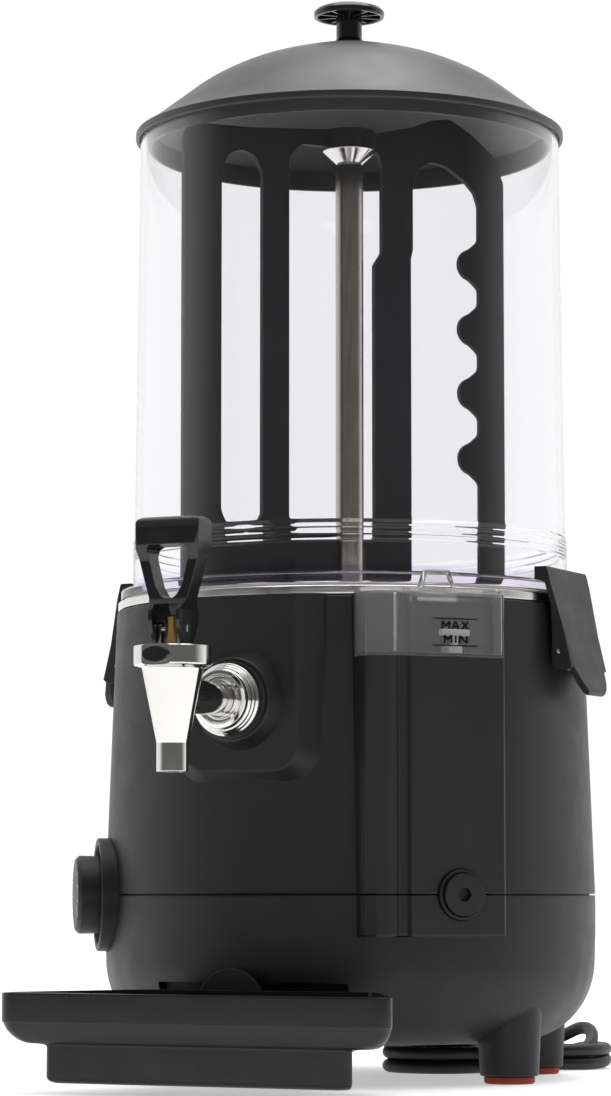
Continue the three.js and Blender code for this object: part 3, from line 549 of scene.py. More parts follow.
column_plan = [
    (25.5, -112, 0), (25.5, -134.6, 1.2), (24, -136, 1.2), (-27, -136, 1.4), (-28.6, -133.5, 1.2), (-33.4, -133.5, 1.2),
    (-35, -135.2, 1.2), (-40, -135.5, 3), (-46, -134, 4), (-49.3, -130, 3), (-50, -125, 2), (-50, -112, 0),
]
column = soft(column_plan, 1.2, 4)
column_void = [(22, -100), (22, -131), (-46, -131), (-46, -100)]
SEG = 176


def knob_hole():
    return turn(cyl_y(0, SEAM, 30, 30, -142, -100, 96), PHI_KNOB)


def drain_hole():
    return turn(cyl_y(0, SEAM, 12.9, 12.9, -142, -120, 64), PHI_COLUMN)


outer = lathe([(0, 20), *bowl_curve(0), (130, 78), (130, 95.0), (129.5, 95.7), (0, 95.7)], SEG)
inner = lathe([(0, 22.5), *bowl_curve(2.5), (127.5, 100), (0, 100)], SEG)
legs = [turn(shift(lathe([(0, 3.8), (15, 3.8, 1.6), (17.5, 52, 0), (0, 52)], 64), 0, -106), phi) for phi in (75, 135, -135, -75)]
spigot = lathe([(125, 88), (128.5, 88), (128.5, 95), (127, 95.7), (127, 100), (125, 100)], SEG)
lower = join(outer, *legs, turn(prism(column, 75, 95.7, (1.6, 0.4)), PHI_COLUMN))
lower = cut(
    join(cut(lower, inner), spigot),
    turn(prism(column_void, 78, 100), PHI_COLUMN),
    knob_hole(),
    drain_hole(),
    turn(cyl_y(0, 60, 8.3, 8.3, -140, -115, 48), PHI_GLAND),
    block(-53, 53, -140, -100, 40, 52),
    *[block(x - 2, x + 2, 20, 62, 19, 23.5, 1.6) for x in (-30, -20, -10, 0, 10, 20, 30)],
)
piece("lower_shell", lower, "base", BLACK, ["lower_housing"])
for i, phi in enumerate((75, 135, -135, -75)):
    pad = turn(shift(lathe([(0, 0), (12.2, 0, 0.6), (13, 1.0, 0.6), (13, 3.5, 0.3), (0, 3.5)], 56), 0, -106), phi)
    piece(f"foot_{i + 1}", pad, "base", PAD, [f"foot_pad_{i + 1}"])

z_top = 246.0


def wall(z):
    return 130 + (124.5 - 130) * (z - 96.3) / (z_top - 96.3)


upper = lathe([(0, 96.3), (129.4, 96.3), (129.98, 96.9), *[(wall(z), z) for z in (120, 145, 170, 195, 220)], (124.53, 245.2), (123.7, z_top), (0, z_top)], SEG)
upper_void = lathe([(0, 90), (127.5, 90), (127.5, 96.3), (wall(243.5) - 2.5, 243.5), (118, 243.5), (118, 250), (0, 250)], SEG)


def shield(hw, z0, r, y, n=12):
    left = [(-hw, z_top)] + arc(-hw + r, z0 + r, r, 180, 270, n)
    right = arc(hw - r, z0 + r, r, 270, 360, n) + [(hw, z_top)]
    return [(x, y, z) for x, z in left + right]


def blend3(s, p, e, u):
    return [a * (1 - u) ** 2 + b * 2 * u * (1 - u) + c * u * u for a, b, c in zip(s, p, e)]


face, rim, slope = (30.9, 158.6, 11, -131.5), (31.9, 157.6, 12, -131.5), (32.67, 156.6, 12.8, -130.5)
levels = [shield(*blend3(face, rim, slope, k / 6)) for k in range(7)] + [shield(41.5, 145, 22, -119), shield(41.5, 145, 22, -100)]
boss = loft(levels)
collar = lathe_front([(0, 128), (25.4, 128, 0), (25, 131.5, 0), (21, 140.5, 1.6), (0, 140.5)], 193, 96)


def lug(s):
    body = join(
        block(min(s * 122.6, s * 129.2), max(s * 122.6, s * 129.2), -20, 20, 217.95, 223.05),
        cyl_y(s * 129.2, 220.5, 2.55, 2.55, -20, 20, 40),
    )
    return cut(body, cyl_y(s * 129.2, 220.5, 1.5, 1.5, -21, 21, 32))


upper = join(upper, boss, collar, turn(prism(column, 96.3, z_top, (0.4, 0.8)), PHI_COLUMN))
upper = cut(
    upper,
    upper_void,
    turn(prism(column_void, 90, 211.8), PHI_COLUMN),
    turn(prism([(25.8, -117), (25.8, -140), (-50.3, -140), (-50.3, -117)], 214.3, 250), PHI_COLUMN),
    cyl_y(0, 192.7, 9, 9, -145, -110, 56),
    knob_hole(),
    drain_hole(),
    turn(block(-10, 10, -135, -115, 137.8, 162.2), PHI_SWITCH),
)
upper = join(upper, turn(prism([(27.5, -114.8), (27.5, -117.2), (-46, -117.2), (-46, -114.8)], 211.8, 243.6), PHI_COLUMN), lug(1), lug(-1))
piece("upper_shell", upper, "base", BLACK, ["upper_housing"])

# ------------------------------------------------------------------ level window
tank_plan = [
    (25.4, -117.5, 0.6), (25.4, -134.6, 1.0), (24, -136, 1.0), (-27, -136, 1.2), (-28.6, -133.5, 1.2), (-33.4, -133.5, 1.2),
    (-35, -135.2, 1.2), (-40, -135.5, 3), (-46, -134, 4), (-49.3, -130, 3), (-49.9, -125, 2), (-49.9, -117.5, 0.6),
]
tank_inside = [
    (23.9, -119, 0.5), (23.9, -134.3, 0.8), (-26.6, -134.5, 1.0), (-28.2, -132, 1.0), (-34, -132, 1.0),
    (-36, -133.8, 1.5), (-40, -134, 2), (-45.4, -132.6, 3), (-48, -129.4, 2), (-48.4, -125, 1), (-48.4, -119, 0.5),
]
tank = cut(prism(soft(tank_plan), 214.6, 246, 0.5), prism(soft(tank_inside), 216.1, 247, (0.6, 0)))
piece("level_tank", turn(tank, PHI_COLUMN), "base", CLEAR_TANK, ["gauge_tank"])
grip = prism(soft([(-0.5, 248.5, 0), (-4, 258.5, 1.6), (-16, 258.5, 1.6), (-19.5, 248.5, 0)]), -133, -125, 0.8, plane="xz")
cover = cut(turn(join(prism(soft(tank_plan), 246.3, 249, 0.5), grip), PHI_COLUMN), lathe([(0, 240), (124.6, 240), (124.6, 262), (0, 262)], SEG))
piece("level_tank_cover", cover, "gauge_lid", CLEAR_TANK, ["gauge_lid"])
float_piece = join(
    prism(soft([(2.7, -123), (2.7, -132.4), (-5.1, -132.4), (-5.1, -123)], 0.8), 216.4, 220.2, 0.5),
    prism(soft([(0.3, -128.4), (0.3, -132.4), (-2.7, -132.4), (-2.7, -128.4)], 0.4), 219.6, 226),
    prism(soft([(6.9, -128.4), (6.9, -132.4), (-8.7, -132.4), (-8.7, -128.4)], 0.5), 225.4, 228.6, 0.4),
)
piece("level_float", turn(float_piece, PHI_COLUMN), "gauge_float", WHITE, ["gauge_float"])


def strokes(lines, u, z, w, h, thick, n, depth=0.14):
    """Thin raised strokes on the front of the column: lines of (x0, y0, x1, y1) in a unit letter."""
    out = []
    for x0, y0, x1, y1 in lines:
        a, b = Vector((u + x0 * w, z + y0 * h)), Vector((u + x1 * w, z + y1 * h))
        d = (b - a).normalized()
        s = Vector((-d.y, d.x)) * thick / 2
        quad = [tuple(a + s), tuple(b + s), tuple(b - s), tuple(a - s)]
        out.append(prism(quad, -n - depth, -n, plane="xz"))
    return out


LETTERS = {
    "M": [(0, 0, 0, 1), (0, 1, 0.5, 0.35), (0.5, 0.35, 1, 1), (1, 1, 1, 0)],
    "A": [(0, 0, 0.5, 1), (0.5, 1, 1, 0), (0.2, 0.33, 0.8, 0.33)],
    "X": [(0, 0, 1, 1), (0, 1, 1, 0)],
    "I": [(0.5, 0, 0.5, 1)],
    "N": [(0, 0, 0, 1), (0, 1, 1, 0), (1, 0, 1, 1)],
}
marks = strokes([(0, 0, 1, 0)], -15.6, 233.6, 25.2, 1, 0.6, 136.02) + strokes([(0, 0, 1, 0)], -15.6, 220.1, 25.2, 1, 0.6, 136.02)
for word, left, z in (("MAX", -9.9, 228.4), ("MIN", -8.7, 221.4)):
    x = left
    for c in word:
        w = 1.6 if c == "I" else 3.8
        marks += strokes(LETTERS[c], x, z, w, 3.8, 1.0, 136.02)
        x += w + 1.55
for i, m in enumerate(marks):
    piece(f"level_mark_{i + 1}", turn(m, PHI_COLUMN), "base", INK, weigh=False)

# ------------------------------------------------------------------ drain
piece("drain_ring", turn(lathe_front([(8.2, 126), (12.6, 126), (12.6, 138, 0.7), (10.9, 138, 0.5), (10.9, 136), (8.2, 136)], SEAM, 72), PHI_COLUMN), "base", BLACK, ["drain_boss"])
hexagon = [(3.8 * math.cos(rad(60 * i)), SEAM + 3.8 * math.sin(rad(60 * i))) for i in range(6)]
drain_screw = cut(lathe_front([(0, 124.5), (7.8, 124.5), (7.8, 136.3), (10.6, 136.3, 0.3), (10.6, 140, 0.7), (0, 140)], SEAM, 72), prism(hexagon, -141, -136.8, plane="xz"))
piece("drain_screw", turn(drain_screw, PHI_COLUMN), "base", BLACK, ["drain_plug"])
keep("drain_pipe", SEAL)

# ------------------------------------------------------------------ thermostat knob and rocker
bezel = lathe_front([(4, 126.3), (27.2, 126.3), (27.2, 121), (29.7, 121), (29.7, 135, 1.0), (26.2, 135, 0.8), (25.2, 128, 0.4), (4, 128)], SEAM, 120)
piece("knob_bezel", turn(bezel, PHI_KNOB), "base", BLACK, ["control_bezel"])
knob = lathe_front([(0, 141.6), (0, 146.5), (18.6, 146.5, 0.8), (20.5, 144.6, 1.0), (20.3, 133, 0.5), (19.6, 129, 0.4), (3.3, 129), (3.3, 141.6)], SEAM, 120)
piece("knob_cap", turn(knob, PHI_KNOB), "control_knob", BLACK, ["control_knob"])
for i, a in enumerate(range(-40, 241, 28)):
    c, s = math.cos(rad(a)), math.sin(rad(a))
    r0, r1 = (9.0, 17.4) if i == 0 else (14.2, 17.2)
    t = 0.55 if i == 0 else 0.35
    quad = [(c * r0 - s * t, SEAM + s * r0 + c * t), (c * r1 - s * t, SEAM + s * r1 + c * t), (c * r1 + s * t, SEAM + s * r1 - c * t), (c * r0 + s * t, SEAM + s * r0 - c * t)]
    piece(f"knob_mark_{i + 1}", turn(prism(quad, -146.62, -146.48, plane="xz"), PHI_KNOB), "control_knob", PRINT, weigh=False)
keep("thermostat_shaft", ZINC)
keep("thermostat", ZINC)
sw = cut(
    join(
        moved(prism(soft([(-11.6, 135.4), (11.6, 135.4), (11.6, 164.6), (-11.6, 164.6)], 1.6), 128.6, 130.4, (0, 0.6), plane="xz"), lambda x, y, z: (x, -y, z)),
        block(-9.7, 9.7, -129, -104, 138.1, 161.9),
    ),
    block(-7.7, 7.7, -131, -119, 139.1, 160.9),
)
piece("switch_bezel", turn(sw, PHI_SWITCH), "base", GLOSS, ["switch_frame"])
rocker = prism(soft([(-124, 140.4, 0.2), (-128.2, 140.4, 0.8), (-129.8, 150, 6), (-132, 159.6, 0.8), (-124, 159.6, 0.2)], 0.6), -7.3, 7.3, 0.5, plane="yz")
piece("switch_rocker", turn(rocker, PHI_SWITCH), "power_switch", GLOSS, ["power_switch"])
for i, (z0, z1) in enumerate(((152.6, 156.6),)):
    bar = moved(prism([(-0.35, z0), (0.35, z0), (0.35, z1), (-0.35, z1)], 130.0, 131.6, plane="xz"), lambda x, y, z: (x, -(129.9 + (z - 150) * 0.2292 + (0.16 if y > 130.8 else -0.2)), z))
    piece(f"switch_mark_{i + 1}", turn(bar, PHI_SWITCH), "power_switch", PRINT, weigh=False)

# ------------------------------------------------------------------ bowl, jacket, heater, seal
bowl = lathe(
    [
        (7.9, 181.5), (96, 181.5, 4), (102, 184, 4), (104.5, 190, 3), (104.5, 246.3, 0.6), (124, 246.3, 0.9),
        (124, 251, 1.0), (103, 251, 1.4), (103, 190.5, 3), (101, 185.5, 4), (95.5, 183, 4), (7.9, 183),
    ],
    SEG,
)
bowl = cut(bowl, cyl_y(0, 192.7, 8.3, 8.3, -110, -95, 56))
piece("bowl_steel", bowl, "base", STEEL, ["bowl"])
keep("water_jacket", STEEL)
keep("heater_ring", ZINC)
piece("flange_seal", lathe([(108, 251.3), (121, 251.3), (121, 252.2), (108, 252.2)], SEG, 0.2), "base", SEAL, ["container_seal"])

# ------------------------------------------------------------------ container, lid


def side(r0, r1, z0, z1=503.2):
    """Extra rings close to the ends of the long wall, so its shading stays true over the whole height."""
    return [(r0 + (r1 - r0) * (z - z0) / (z1 - z0), z, 0.0) for z in (z0 + 3.0, z0 + 3.6, 400.0, z1 - 2.6, z1 - 2.0)]


rib = []
for z in (274.6, 278.2, 281.8):
    rib += [(116.3, z - 1.1, 0.5), (116.0, z - 0.45, 0.5), (116.0, z + 0.15, 0.5), (116.3, z + 0.8, 0.5)]
vessel = lathe(
    [
        (112.6, 252.5, 0.5), (122.5, 252.5, 0.9), (122.5, 257.3, 1.2), (117.4, 257.3, 1.0), (116.3, 258.9, 1.2),
        *rib, (116.25, 283.4, 0.8), (115.6, 285.4, 2.0), *side(115.6, 113.2, 285.4), (113.2, 503.2, 0.9), (110.2, 503.2, 0.9), *reversed(side(112.4, 110.2, 289)), (112.4, 289, 2),
        (112.6, 284, 2),
    ],
    208,
    steps=4,
)
piece("clear_vessel", vessel, "base", CLEAR, ["container"], angle=50, weigh=False)

dome = [(p.x, p.z) for p in flow([(2.7, 0, 556.2), (14, 0, 555.4), (30, 0, 551.8), (57.7, 0, 543.2), (78.9, 0, 532.4), (94.1, 0, 521.2), (106, 0, 512.1), (111.6, 0, 508.1), (114.6, 0, 506.5)], 5)]
under = [(p.x, p.z) for p in flow([(107, 0, 507.6), (92.6, 0, 518.4), (77.7, 0, 529.4), (56.7, 0, 540.4), (29.4, 0, 548.4), (14, 0, 552.2), (2.7, 0, 553.6)], 8)]
lid = lathe(
    [(x, z, 0) for x, z in dome]
    + [(115.7, 505.8, 0.5), (115.7, 502.1, 0.7), (113.7, 501.9, 0.6), (113.6, 503.6, 0.4), (109, 503.6, 0.4), (109, 496.4, 0.7), (107, 496.4, 0.7)]
    + [(x, z, 0) for x, z in under],
    208,
)
piece("lid_dome", lid, "lid", LID, ["lid"], weigh=False)
grip_knob = lathe(
    [
        (0, 563), (2.7, 563), (2.7, 556.5), (8.4, 556.5, 0.4), (8.2, 557.5, 0.4), (7.0, 559.7, 1.5), (7.0, 574.4, 0.8),
        (16.5, 573.8, 0.5), (17.1, 571.4, 0.4), (19.0, 571.4, 0.5), (19.3, 574.1, 0.8), (17.8, 575.9, 2.0), (12.5, 577.8, 4.0), (0, 578.6),
    ],
    96,
    steps=4,
)
grip_knob = join(grip_knob, *[turn(block(6.4, 17.0, -0.6, 0.6, 571.8, 574.8), 36 * k + 8) for k in range(10)])
piece("lid_grip", grip_knob, "lid", GLOSS, ["lid_knob"])
keep("lid_screw", ZINC)

# ------------------------------------------------------------------ stirring gear
piece("centre_sleeve", lathe([(5.9, 163), (7.6, 163), (7.6, 489, 0.5), (7.2, 489.5, 0.3), (5.9, 489.5, 0.4)], 64), "base", TUBE, ["centre_tube"])
keep("drive_shaft", STEEL)
piece("shaft_cone", lathe([(4.4, 490.2), (7, 490.2, 0.4), (14.3, 496.9, 0.4), (14.3, 498, 0.3), (4.4, 498)], 96), "stirrer", CHROME, ["shaft_nut"])

paddle = [
    (-99, 204, 3), (-95, 200, 3), (37.2, 200, 1.5), (37.2, 441, 4), (38.5, 446, 4), (38.5, 480, 8), (42, 491, 6), (50, 496, 8), (60, 494, 8), (72, 487, 8), (78, 481, 5), (80.5, 474, 5),
]
for z in (441, 405, 369.5, 333.5):
    paddle += [(80.5, z + 13.4, 4.5), (75.5, z + 9.3, 3.0)] + [(p[0], p[1], 0) for p in arc(76.5, z, 8.8, 105, 255, 14)] + [(75.5, z - 9.3, 3.0), (80.5, z - 13.4, 4.5)]
paddle += [
    (80.5, 206, 3), (84, 200, 3), (93, 200, 3), (96.5, 204, 3), (96.5, 488, 10), (90, 503, 10), (76, 513.5, 12), (62, 521, 8), (50, 519, 10), (38, 514, 12), (14, 508, 4), (-14, 508, 4), (-60, 504.5, 10), (-92, 504, 4), (-97, 501, 4), (-99, 495, 5),
]
window_ab = [(-77.5, 298, 8), (-74, 290.5, 6), (-68, 288, 5), (-62, 288, 5), (-56, 290.5, 6), (-53, 298, 8), (-53, 480, 9), (-57, 489, 8), (-65.5, 492, 8), (-73.5, 489, 8), (-77.5, 480, 9)]
window_bc = [(-37.5, 296, 5), (-34.5, 291, 4), (-29, 289, 3), (14.8, 289, 1), (14.8, 436, 4), (19.5, 443, 4), (19.5, 490, 4), (17, 498.4, 4), (-30, 498.4, 7), (-37.5, 491, 7)]
plate = prism(soft(paddle, 2, 6), -2, 2, 0.5, plane="xz")
plate = cut(plate, prism(soft(window_ab, 4, 6), -4, 4, plane="xz"), prism(soft(window_bc, 4, 6), -4, 4, plane="xz"), cyl_z(0, 0, 8.7, 8.7, 190, 292, 64))
stirrer = join(plate, cyl_z(0, 0, 14, 14, 498.4, 508, 72, 0.5), cyl_z(0, 0, 11.6, 11.6, 200, 216, 72, 0.4))
stirrer = cut(stirrer, cyl_z(0, 0, 8.7, 8.7, 190, 292, 64), cyl_z(0, 0, 4.4, 4.4, 490, 502, 40))
piece("stirrer_paddle", turn(stirrer, math.degrees(math.atan2(0.799, 0.602))), "stirrer", STIR, ["stirrer"])
keep("gear_motor", ZINC)
keep("motor_bracket", ZINC)

# ------------------------------------------------------------------ tap
TAP_Y, TAP_Z, LEVER_Z = -203.0, 192.7, 224.3
piece("tap_tail", lathe_front([(5, 100.5), (8, 100.5, 0.4), (8, 154), (5, 154)], TAP_Z, 56), "base", CHROME, ["tap_shank"])
piece("tap_gasket", lathe_front([(8.3, 140.8), (19.5, 140.8, 0.4), (19.5, 143, 0.5), (8.3, 143)], TAP_Z, 72), "base", RUBBER, ["tap_washer"])
nut = lathe_front(
    [(8.3, 143.3), (18.3, 143.3, 0.3), (18.3, 146.6, 0.5), (17.2, 147.4, 0.3), (17.0, 148.6, 0.3), (16.2, 149.2, 0.3), (16.0, 150.4, 0.3), (15.0, 151, 0.4), (14.6, 153.6, 0.4), (12.4, 154, 0.4), (11.6, 153.1, 0.3), (10.2, 153.1, 0.3), (9.6, 154, 0.3), (8.3, 154, 0.2)],
    TAP_Z, 96,
)
piece("tap_ring_nut", nut, "base", CHROME, ["tap_nut"])


def tap(o):
    return shift(o, 0, TAP_Y)


def ear(s):
    x0, x1 = sorted((s * 4.4, s * 6.1))
    return join(block(x0, x1, -4, 4, 215, LEVER_Z), cyl_x(0, LEVER_Z, 4, x0, x1, 48))


body = lathe([(0, 155), (7.8, 155, 0.5), (7.8, 169, 1.0), (15, 205, 0.4), (19, 206.3, 1.2), (19, 216, 0.9), (0, 216)], 96)
chamber = lathe([(0, 150), (5.4, 150, 0), (5.4, 170.5), (11.5, 204.5), (4.6, 209.5), (4.6, 220), (0, 220)], 56)
body = join(body, cyl_y(0, TAP_Z, 8.4, 8.4, 2, -154.5 - TAP_Y, 64), ear(1), ear(-1))
body = cut(
    body, chamber, cyl_y(0, TAP_Z, 5, 5, 3, 60, 48), cyl_x(0, LEVER_Z, 2.1, -20, 20, 40), block(-9, 9, -25, -17.5, 204, 217),
)
piece("tap_shell", tap(body), "base", CHROME, ["tap_body"])
oval = [(7.25 * math.cos(2 * math.pi * i / 48), 211 + 4.1 * math.sin(2 * math.pi * i / 48)) for i in range(48)]
cap = moved(prism(oval, 17.6, 19.0, (0, 0.6), plane="xz"), lambda x, y, z: (x, -y, z))
piece("tap_badge_blank", tap(cap), "base", GLOSS, ["tap_cap"])
piece("tap_hinge_pin", tap(cyl_x(0, LEVER_Z, 1.8, -8.3, 8.3, 32, 0.3)), "tap_handle", CHROME, ["tap_pin"])
half = [(8.5, 216.3, 0.8), (8.5, 233, 1.2), (10.3, 238.5, 4), (13.1, 248, 6), (15.9, 258, 6), (17.3, 265.5, 2), (17.6, 269, 3), (17.6, 275.5, 3), (16.4, 278.2, 2.4), (14, 279, 2)]
lever_face = half + [(-x, z, r) for x, z, r in reversed(half)]
loop_half = [(2, 238.8, 0.8), (4.4, 240.4, 2), (7.3, 245, 3), (11.4, 261, 2.5), (10.9, 263.6, 1.6), (8.8, 265, 1.6)]
lever_loop = loop_half + [(-x, z, r) for x, z, r in reversed(loop_half)]
side_half = [(0, 216.3), (3.1, 216.9), (5.66, LEVER_Z - 5.66), (7.6, 221.4), (9.6, 226), (10, 228), (10, 233, 0.8), (5.2, 238.8, 1.6), (5, 258, 4), (7.9, 265, 3), (7.9, 273, 4.5), (6.4, 277.4, 3), (3.6, 279, 3)]
side_pts = [(y, z, r[0] if r else 1.2) for y, z, *r in side_half]
lever_side = side_pts + [(-y, z, r) for y, z, r in reversed(side_pts[1:])]
lever = meet(prism(soft(lever_face, 1.0, 5), -10, 10, plane="xz"), prism(soft(lever_side, 1.0, 5), -21, 21, plane="yz"))
lever = meet(lever, join(block(-18.5, 18.5, -10.5, 10.5, 214, 262), prism(soft([(-17.6, -7.9), (17.6, -7.9), (17.6, 7.9), (-17.6, 7.9)], 2.5, 8), 261, 281)))
lever = cut(lever, prism(soft(lever_loop, 1.0, 5), -12, 12, plane="xz"), block(-6.5, 6.5, -12, 12, 214, 236), cyl_x(0, LEVER_Z, 2.1, -20, 20, 40))
piece("tap_lever", tap(lever), "tap_handle", GLOSS, ["tap_handle"])
stem = cut(lathe([(0, 172), (2.6, 172), (2.6, 180), (3.8, 182), (3.8, 230, 0.6), (3, 231, 0.6), (0, 231)], 48), block(-6, 6, -2.2, 2.2, 218, 226.7))
piece("tap_plunger", tap(stem), "tap_stem", BRASS, ["tap_stem"])
keep("tap_seal", SEAL)

# ------------------------------------------------------------------ clamps


def clamp(side):
    outer_plate = [
        (122.9, 264.5, 0.6), (124.8, 264, 0.8), (137.3, 212, 6), (141.1, 202.5, 3), (141.5, 200.2, 1), (140.8, 198.6, 0.8), (139.3, 198.4, 0.8), (137.9, 199.6, 1),
        (134.3, 211.6, 5), (122.4, 261.1, 1),
    ]
    sides = [(-28, 266, 0), (-28, 256, 6), (-21.5, 213, 8), (-17, 205, 5), (-11, 199.5, 5), (-7, 197, 3), (7, 197, 3), (11, 199.5, 5), (17, 205, 5), (21.5, 213, 8), (28, 256, 6), (28, 266, 0)]
    plate_ = meet(prism(soft(outer_plate, 1, 5), -28, 28, plane="xz"), prism(soft(sides, 1, 6), 110, 150, plane="yz"))
    lip = block(118, 124.4, -28, 28, 257.8, 264.5)
    cheek = [(124.4, 262), (126.6, 256.3), (137, 212.6), (134.3, 210.6, 1), (127.4, 211.4, 1), (126.1, 214, 1), (126.1, 250, 4), (124.6, 257.8), (122, 259), (122, 262)]
    flare = [(-28, 266), (-28, 256), (-24.5, 233), (-24.5, 205), (24.5, 205), (24.5, 233), (28, 256), (28, 266)]
    cheeks = meet(prism([(p[0], p[1]) for p in cheek], -28, 28, plane="xz"), prism(flare, 110, 150, plane="yz"))
    cheeks = cut(cheeks, block(110, 150, -20.6, 20.6, 200, 257.4), cyl_y(129.2, 220.5, 1.5, 1.5, -40, 40, 32))
    o = join(plate_, lip, cheeks)
    return o if side > 0 else turn(o, 180)


piece("clamp_right", clamp(1), "latch_right", BLACK, ["latch_right"])
piece("clamp_left", clamp(-1), "latch_left", BLACK, ["latch_left"])
piece("clamp_pin_right", cyl_y(129.2, 220.5, 1.2, 1.2, -24.4, 24.4, 28, 0.3), "base", CHROME, ["latch_pin_right"])
piece("clamp_pin_left", cyl_y(-129.2, 220.5, 1.2, 1.2, -24.4, 24.4, 28, 0.3), "base", CHROME, ["latch_pin_left"])

# ------------------------------------------------------------------ drip tray


def tray_outline(d, f=None, n=8):
    """The tray's plan, set in by d at the sides and rear and by f at the front."""
    yf, yr = -222.0 + (d if f is None else f), -141.4 - d
    hf, hr, r = 104 - 1.12 * d, 66.5 - 1.12 * d, max(4.0, 8 - d * 0.2)
    h = [(hf - r + r * math.sin(rad(90 * i / n)), yf + r - r * math.cos(rad(90 * i / n))) for i in range(n + 1)]
    # the slanted side runs to a rounded rear corner
    c = [(hr + 1.6, yr - 5), (hr - 0.6, yr - 1.6), (hr - 4.5, yr)]
    for i in range(5):
        u = i / 4
        h.append(tuple(c[0][k] * (1 - u) ** 2 + c[1][k] * 2 * u * (1 - u) + c[2][k] * u * u for k in (0, 1)))
    pts = h + [(-x, y) for x, y in reversed(h)]
    return [(x + 17.3, y) for x, y in pts]


def tray_levels(rows):
    return loft([[(x, y, z) for x, y in tray_outline(*row)] for z, *row in rows])


tray = tray_levels(
    [(5, 24.0, 12.0), (5.15, 22.9, 10.9), (5.8, 21.3, 9.3), (6.8, 20.4, 8.4), (8.2, 20.0, 8.0), (22.6, 20.0, 8.0), (23.3, 19.4, 8.0), (23.75, 17.6, 7.9), (24.0, 15.0, 7.7), (24.1, 11.0, 7.2), (24.6, 8.4, 6.4), (25.8, 6.0, 5.0), (28.0, 3.6, 3.3), (30.8, 1.7, 1.6), (33.4, 0.75, 0.75), (34.2, 0.45, 0.45), (34.5, 0.1, 0.1), (34.9, 0), (47.8, 0), (48.5, 0.25), (48.8, 0.9)]
)
hollow = tray_levels([(8, 24.2, 12.2), (9, 23.2, 11.2), (26.4, 23.2, 11.2), (26.8, 12, 10), (28.4, 8.6, 8.2), (31.2, 6.2, 6.2), (35.4, 5), (44.2, 5), (44.22, 2.8), (50, 2.8)])


def hook(x0, x1):
    return join(block(x0, x1, -142.4, -135.6, 44.4, 46.9), block(x0, x1, -138.1, -135.6, 36, 46.9))


tray = join(cut(tray, hollow), hook(-47, -25), hook(25, 47))
piece("tray_pan", tray, "drip_tray", TRAY, ["drip_tray"])
grid = tray_levels([(44.5, 3.5), (44.8, 3.3), (46.2, 3.3), (46.5, 3.6)])
slots = []
for k in range(-7, 8):
    x = 17.3 + k * 12
    reach = -186 if abs(k) >= 6 else -158 if abs(k) == 5 else -151
    slots.append(block(x - 2.6, x + 2.6, -211, -199 if abs(k) == 7 else -184.5, 40, 50, 2.4))
    if reach > -180:
        slots.append(block(x - 2.6, x + 2.6, -179.5, reach, 40, 50, 2.4))
piece("tray_grille", cut(grid, *slots), "drip_grid", TRAY, ["drip_grid"])
tab = [(18.5 * math.cos(rad(180 * i / 40)), 41 + 18.5 * math.sin(rad(180 * i / 40))) for i in range(41)]
bracket = cut(
    join(block(-51, 51, -141, -138.5, 31, 44.1), prism(tab, -141, -138.5, 0.4, plane="xz"), block(-51, 51, -139, -109, 41, 43.5), block(-51, 51, -111.5, -109, 41, 62)),
    block(23, 49, -138.5, -135, 38, 48),
    block(-49, -23, -138.5, -135, 38, 48),
)
piece("tray_hanger", bracket, "base", BLACK, ["tray_bracket"])

# ------------------------------------------------------------------ lead: gland, cord, tie, plug
gland = lathe_front([(3.9, 122), (8.1, 122), (8.1, 126.4, 0.4), (10.4, 126.8, 0.5), (10.4, 129.6, 0.8), (7.5, 130.4, 0.6), (7.0, 134.2, 0.5), (6.4, 134.8, 0.3), (6.4, 136.2, 0.3), (6.8, 136.8, 0.3), (6.4, 141, 0.4), (5.8, 141.6, 0.3), (5.8, 143, 0.3), (6.0, 143.6, 0.3), (5.2, 149.7, 0.8), (3.9, 149.7)], 60, 56)
piece("cord_sleeve", turn(gland, PHI_GLAND), "base", RUBBER, ["cord_gland"])
curve = bpy.data.curves.new("mains_lead", "CURVE")
curve.dimensions = "3D"
curve.bevel_depth = CORD_D / 2 * MM
curve.bevel_resolution = 5
curve.use_fill_caps = True
sp = curve.splines.new("POLY")
sp.points.add(len(line) - 1)
for q, p in zip(sp.points, line):
    q.co = (p.x * MM, (p.y + YO) * MM, p.z * MM, 1)
sp.use_smooth = True
curve.materials.append(CABLE)
lead = bpy.data.objects.new("mains_lead", curve)
scene.collection.objects.link(lead)
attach(lead, "base")
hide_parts("power_cord", "cord_hank", "cord_tail")

# the tie: a flat band round the waist of the hank
band_path = [(-14.6, 0.9), (-15.6, 3.6), (-15.6, 11), (-14.2, 14.6), (-10.5, 15.4), (10.5, 15.4), (14.2, 14.6), (15.6, 11), (15.6, 3.6), (14.6, 0.9), (10, 0.35), (-10, 0.35)]
outline = soft(band_path, 1.5, 4)
inner_band = inset(outline, 0.8)
verts, faces = [], []
n = len(outline)
for e in (-1.9, 1.9):
    verts += [hank(e, f, z) for f, z in outline] + [hank(e, f, z) for f, z in inner_band]
for i in range(n):
    j = (i + 1) % n
    a, b, c, d = 0, n, 2 * n, 3 * n
    faces += [(a + i, a + j, b + j, b + i), (c + i, d + i, d + j, c + j), (a + i, c + i, c + j, a + j), (b + i, b + j, d + j, d + i)]
tie = piece("cord_tie", build(verts, faces), "base", GLOSS)

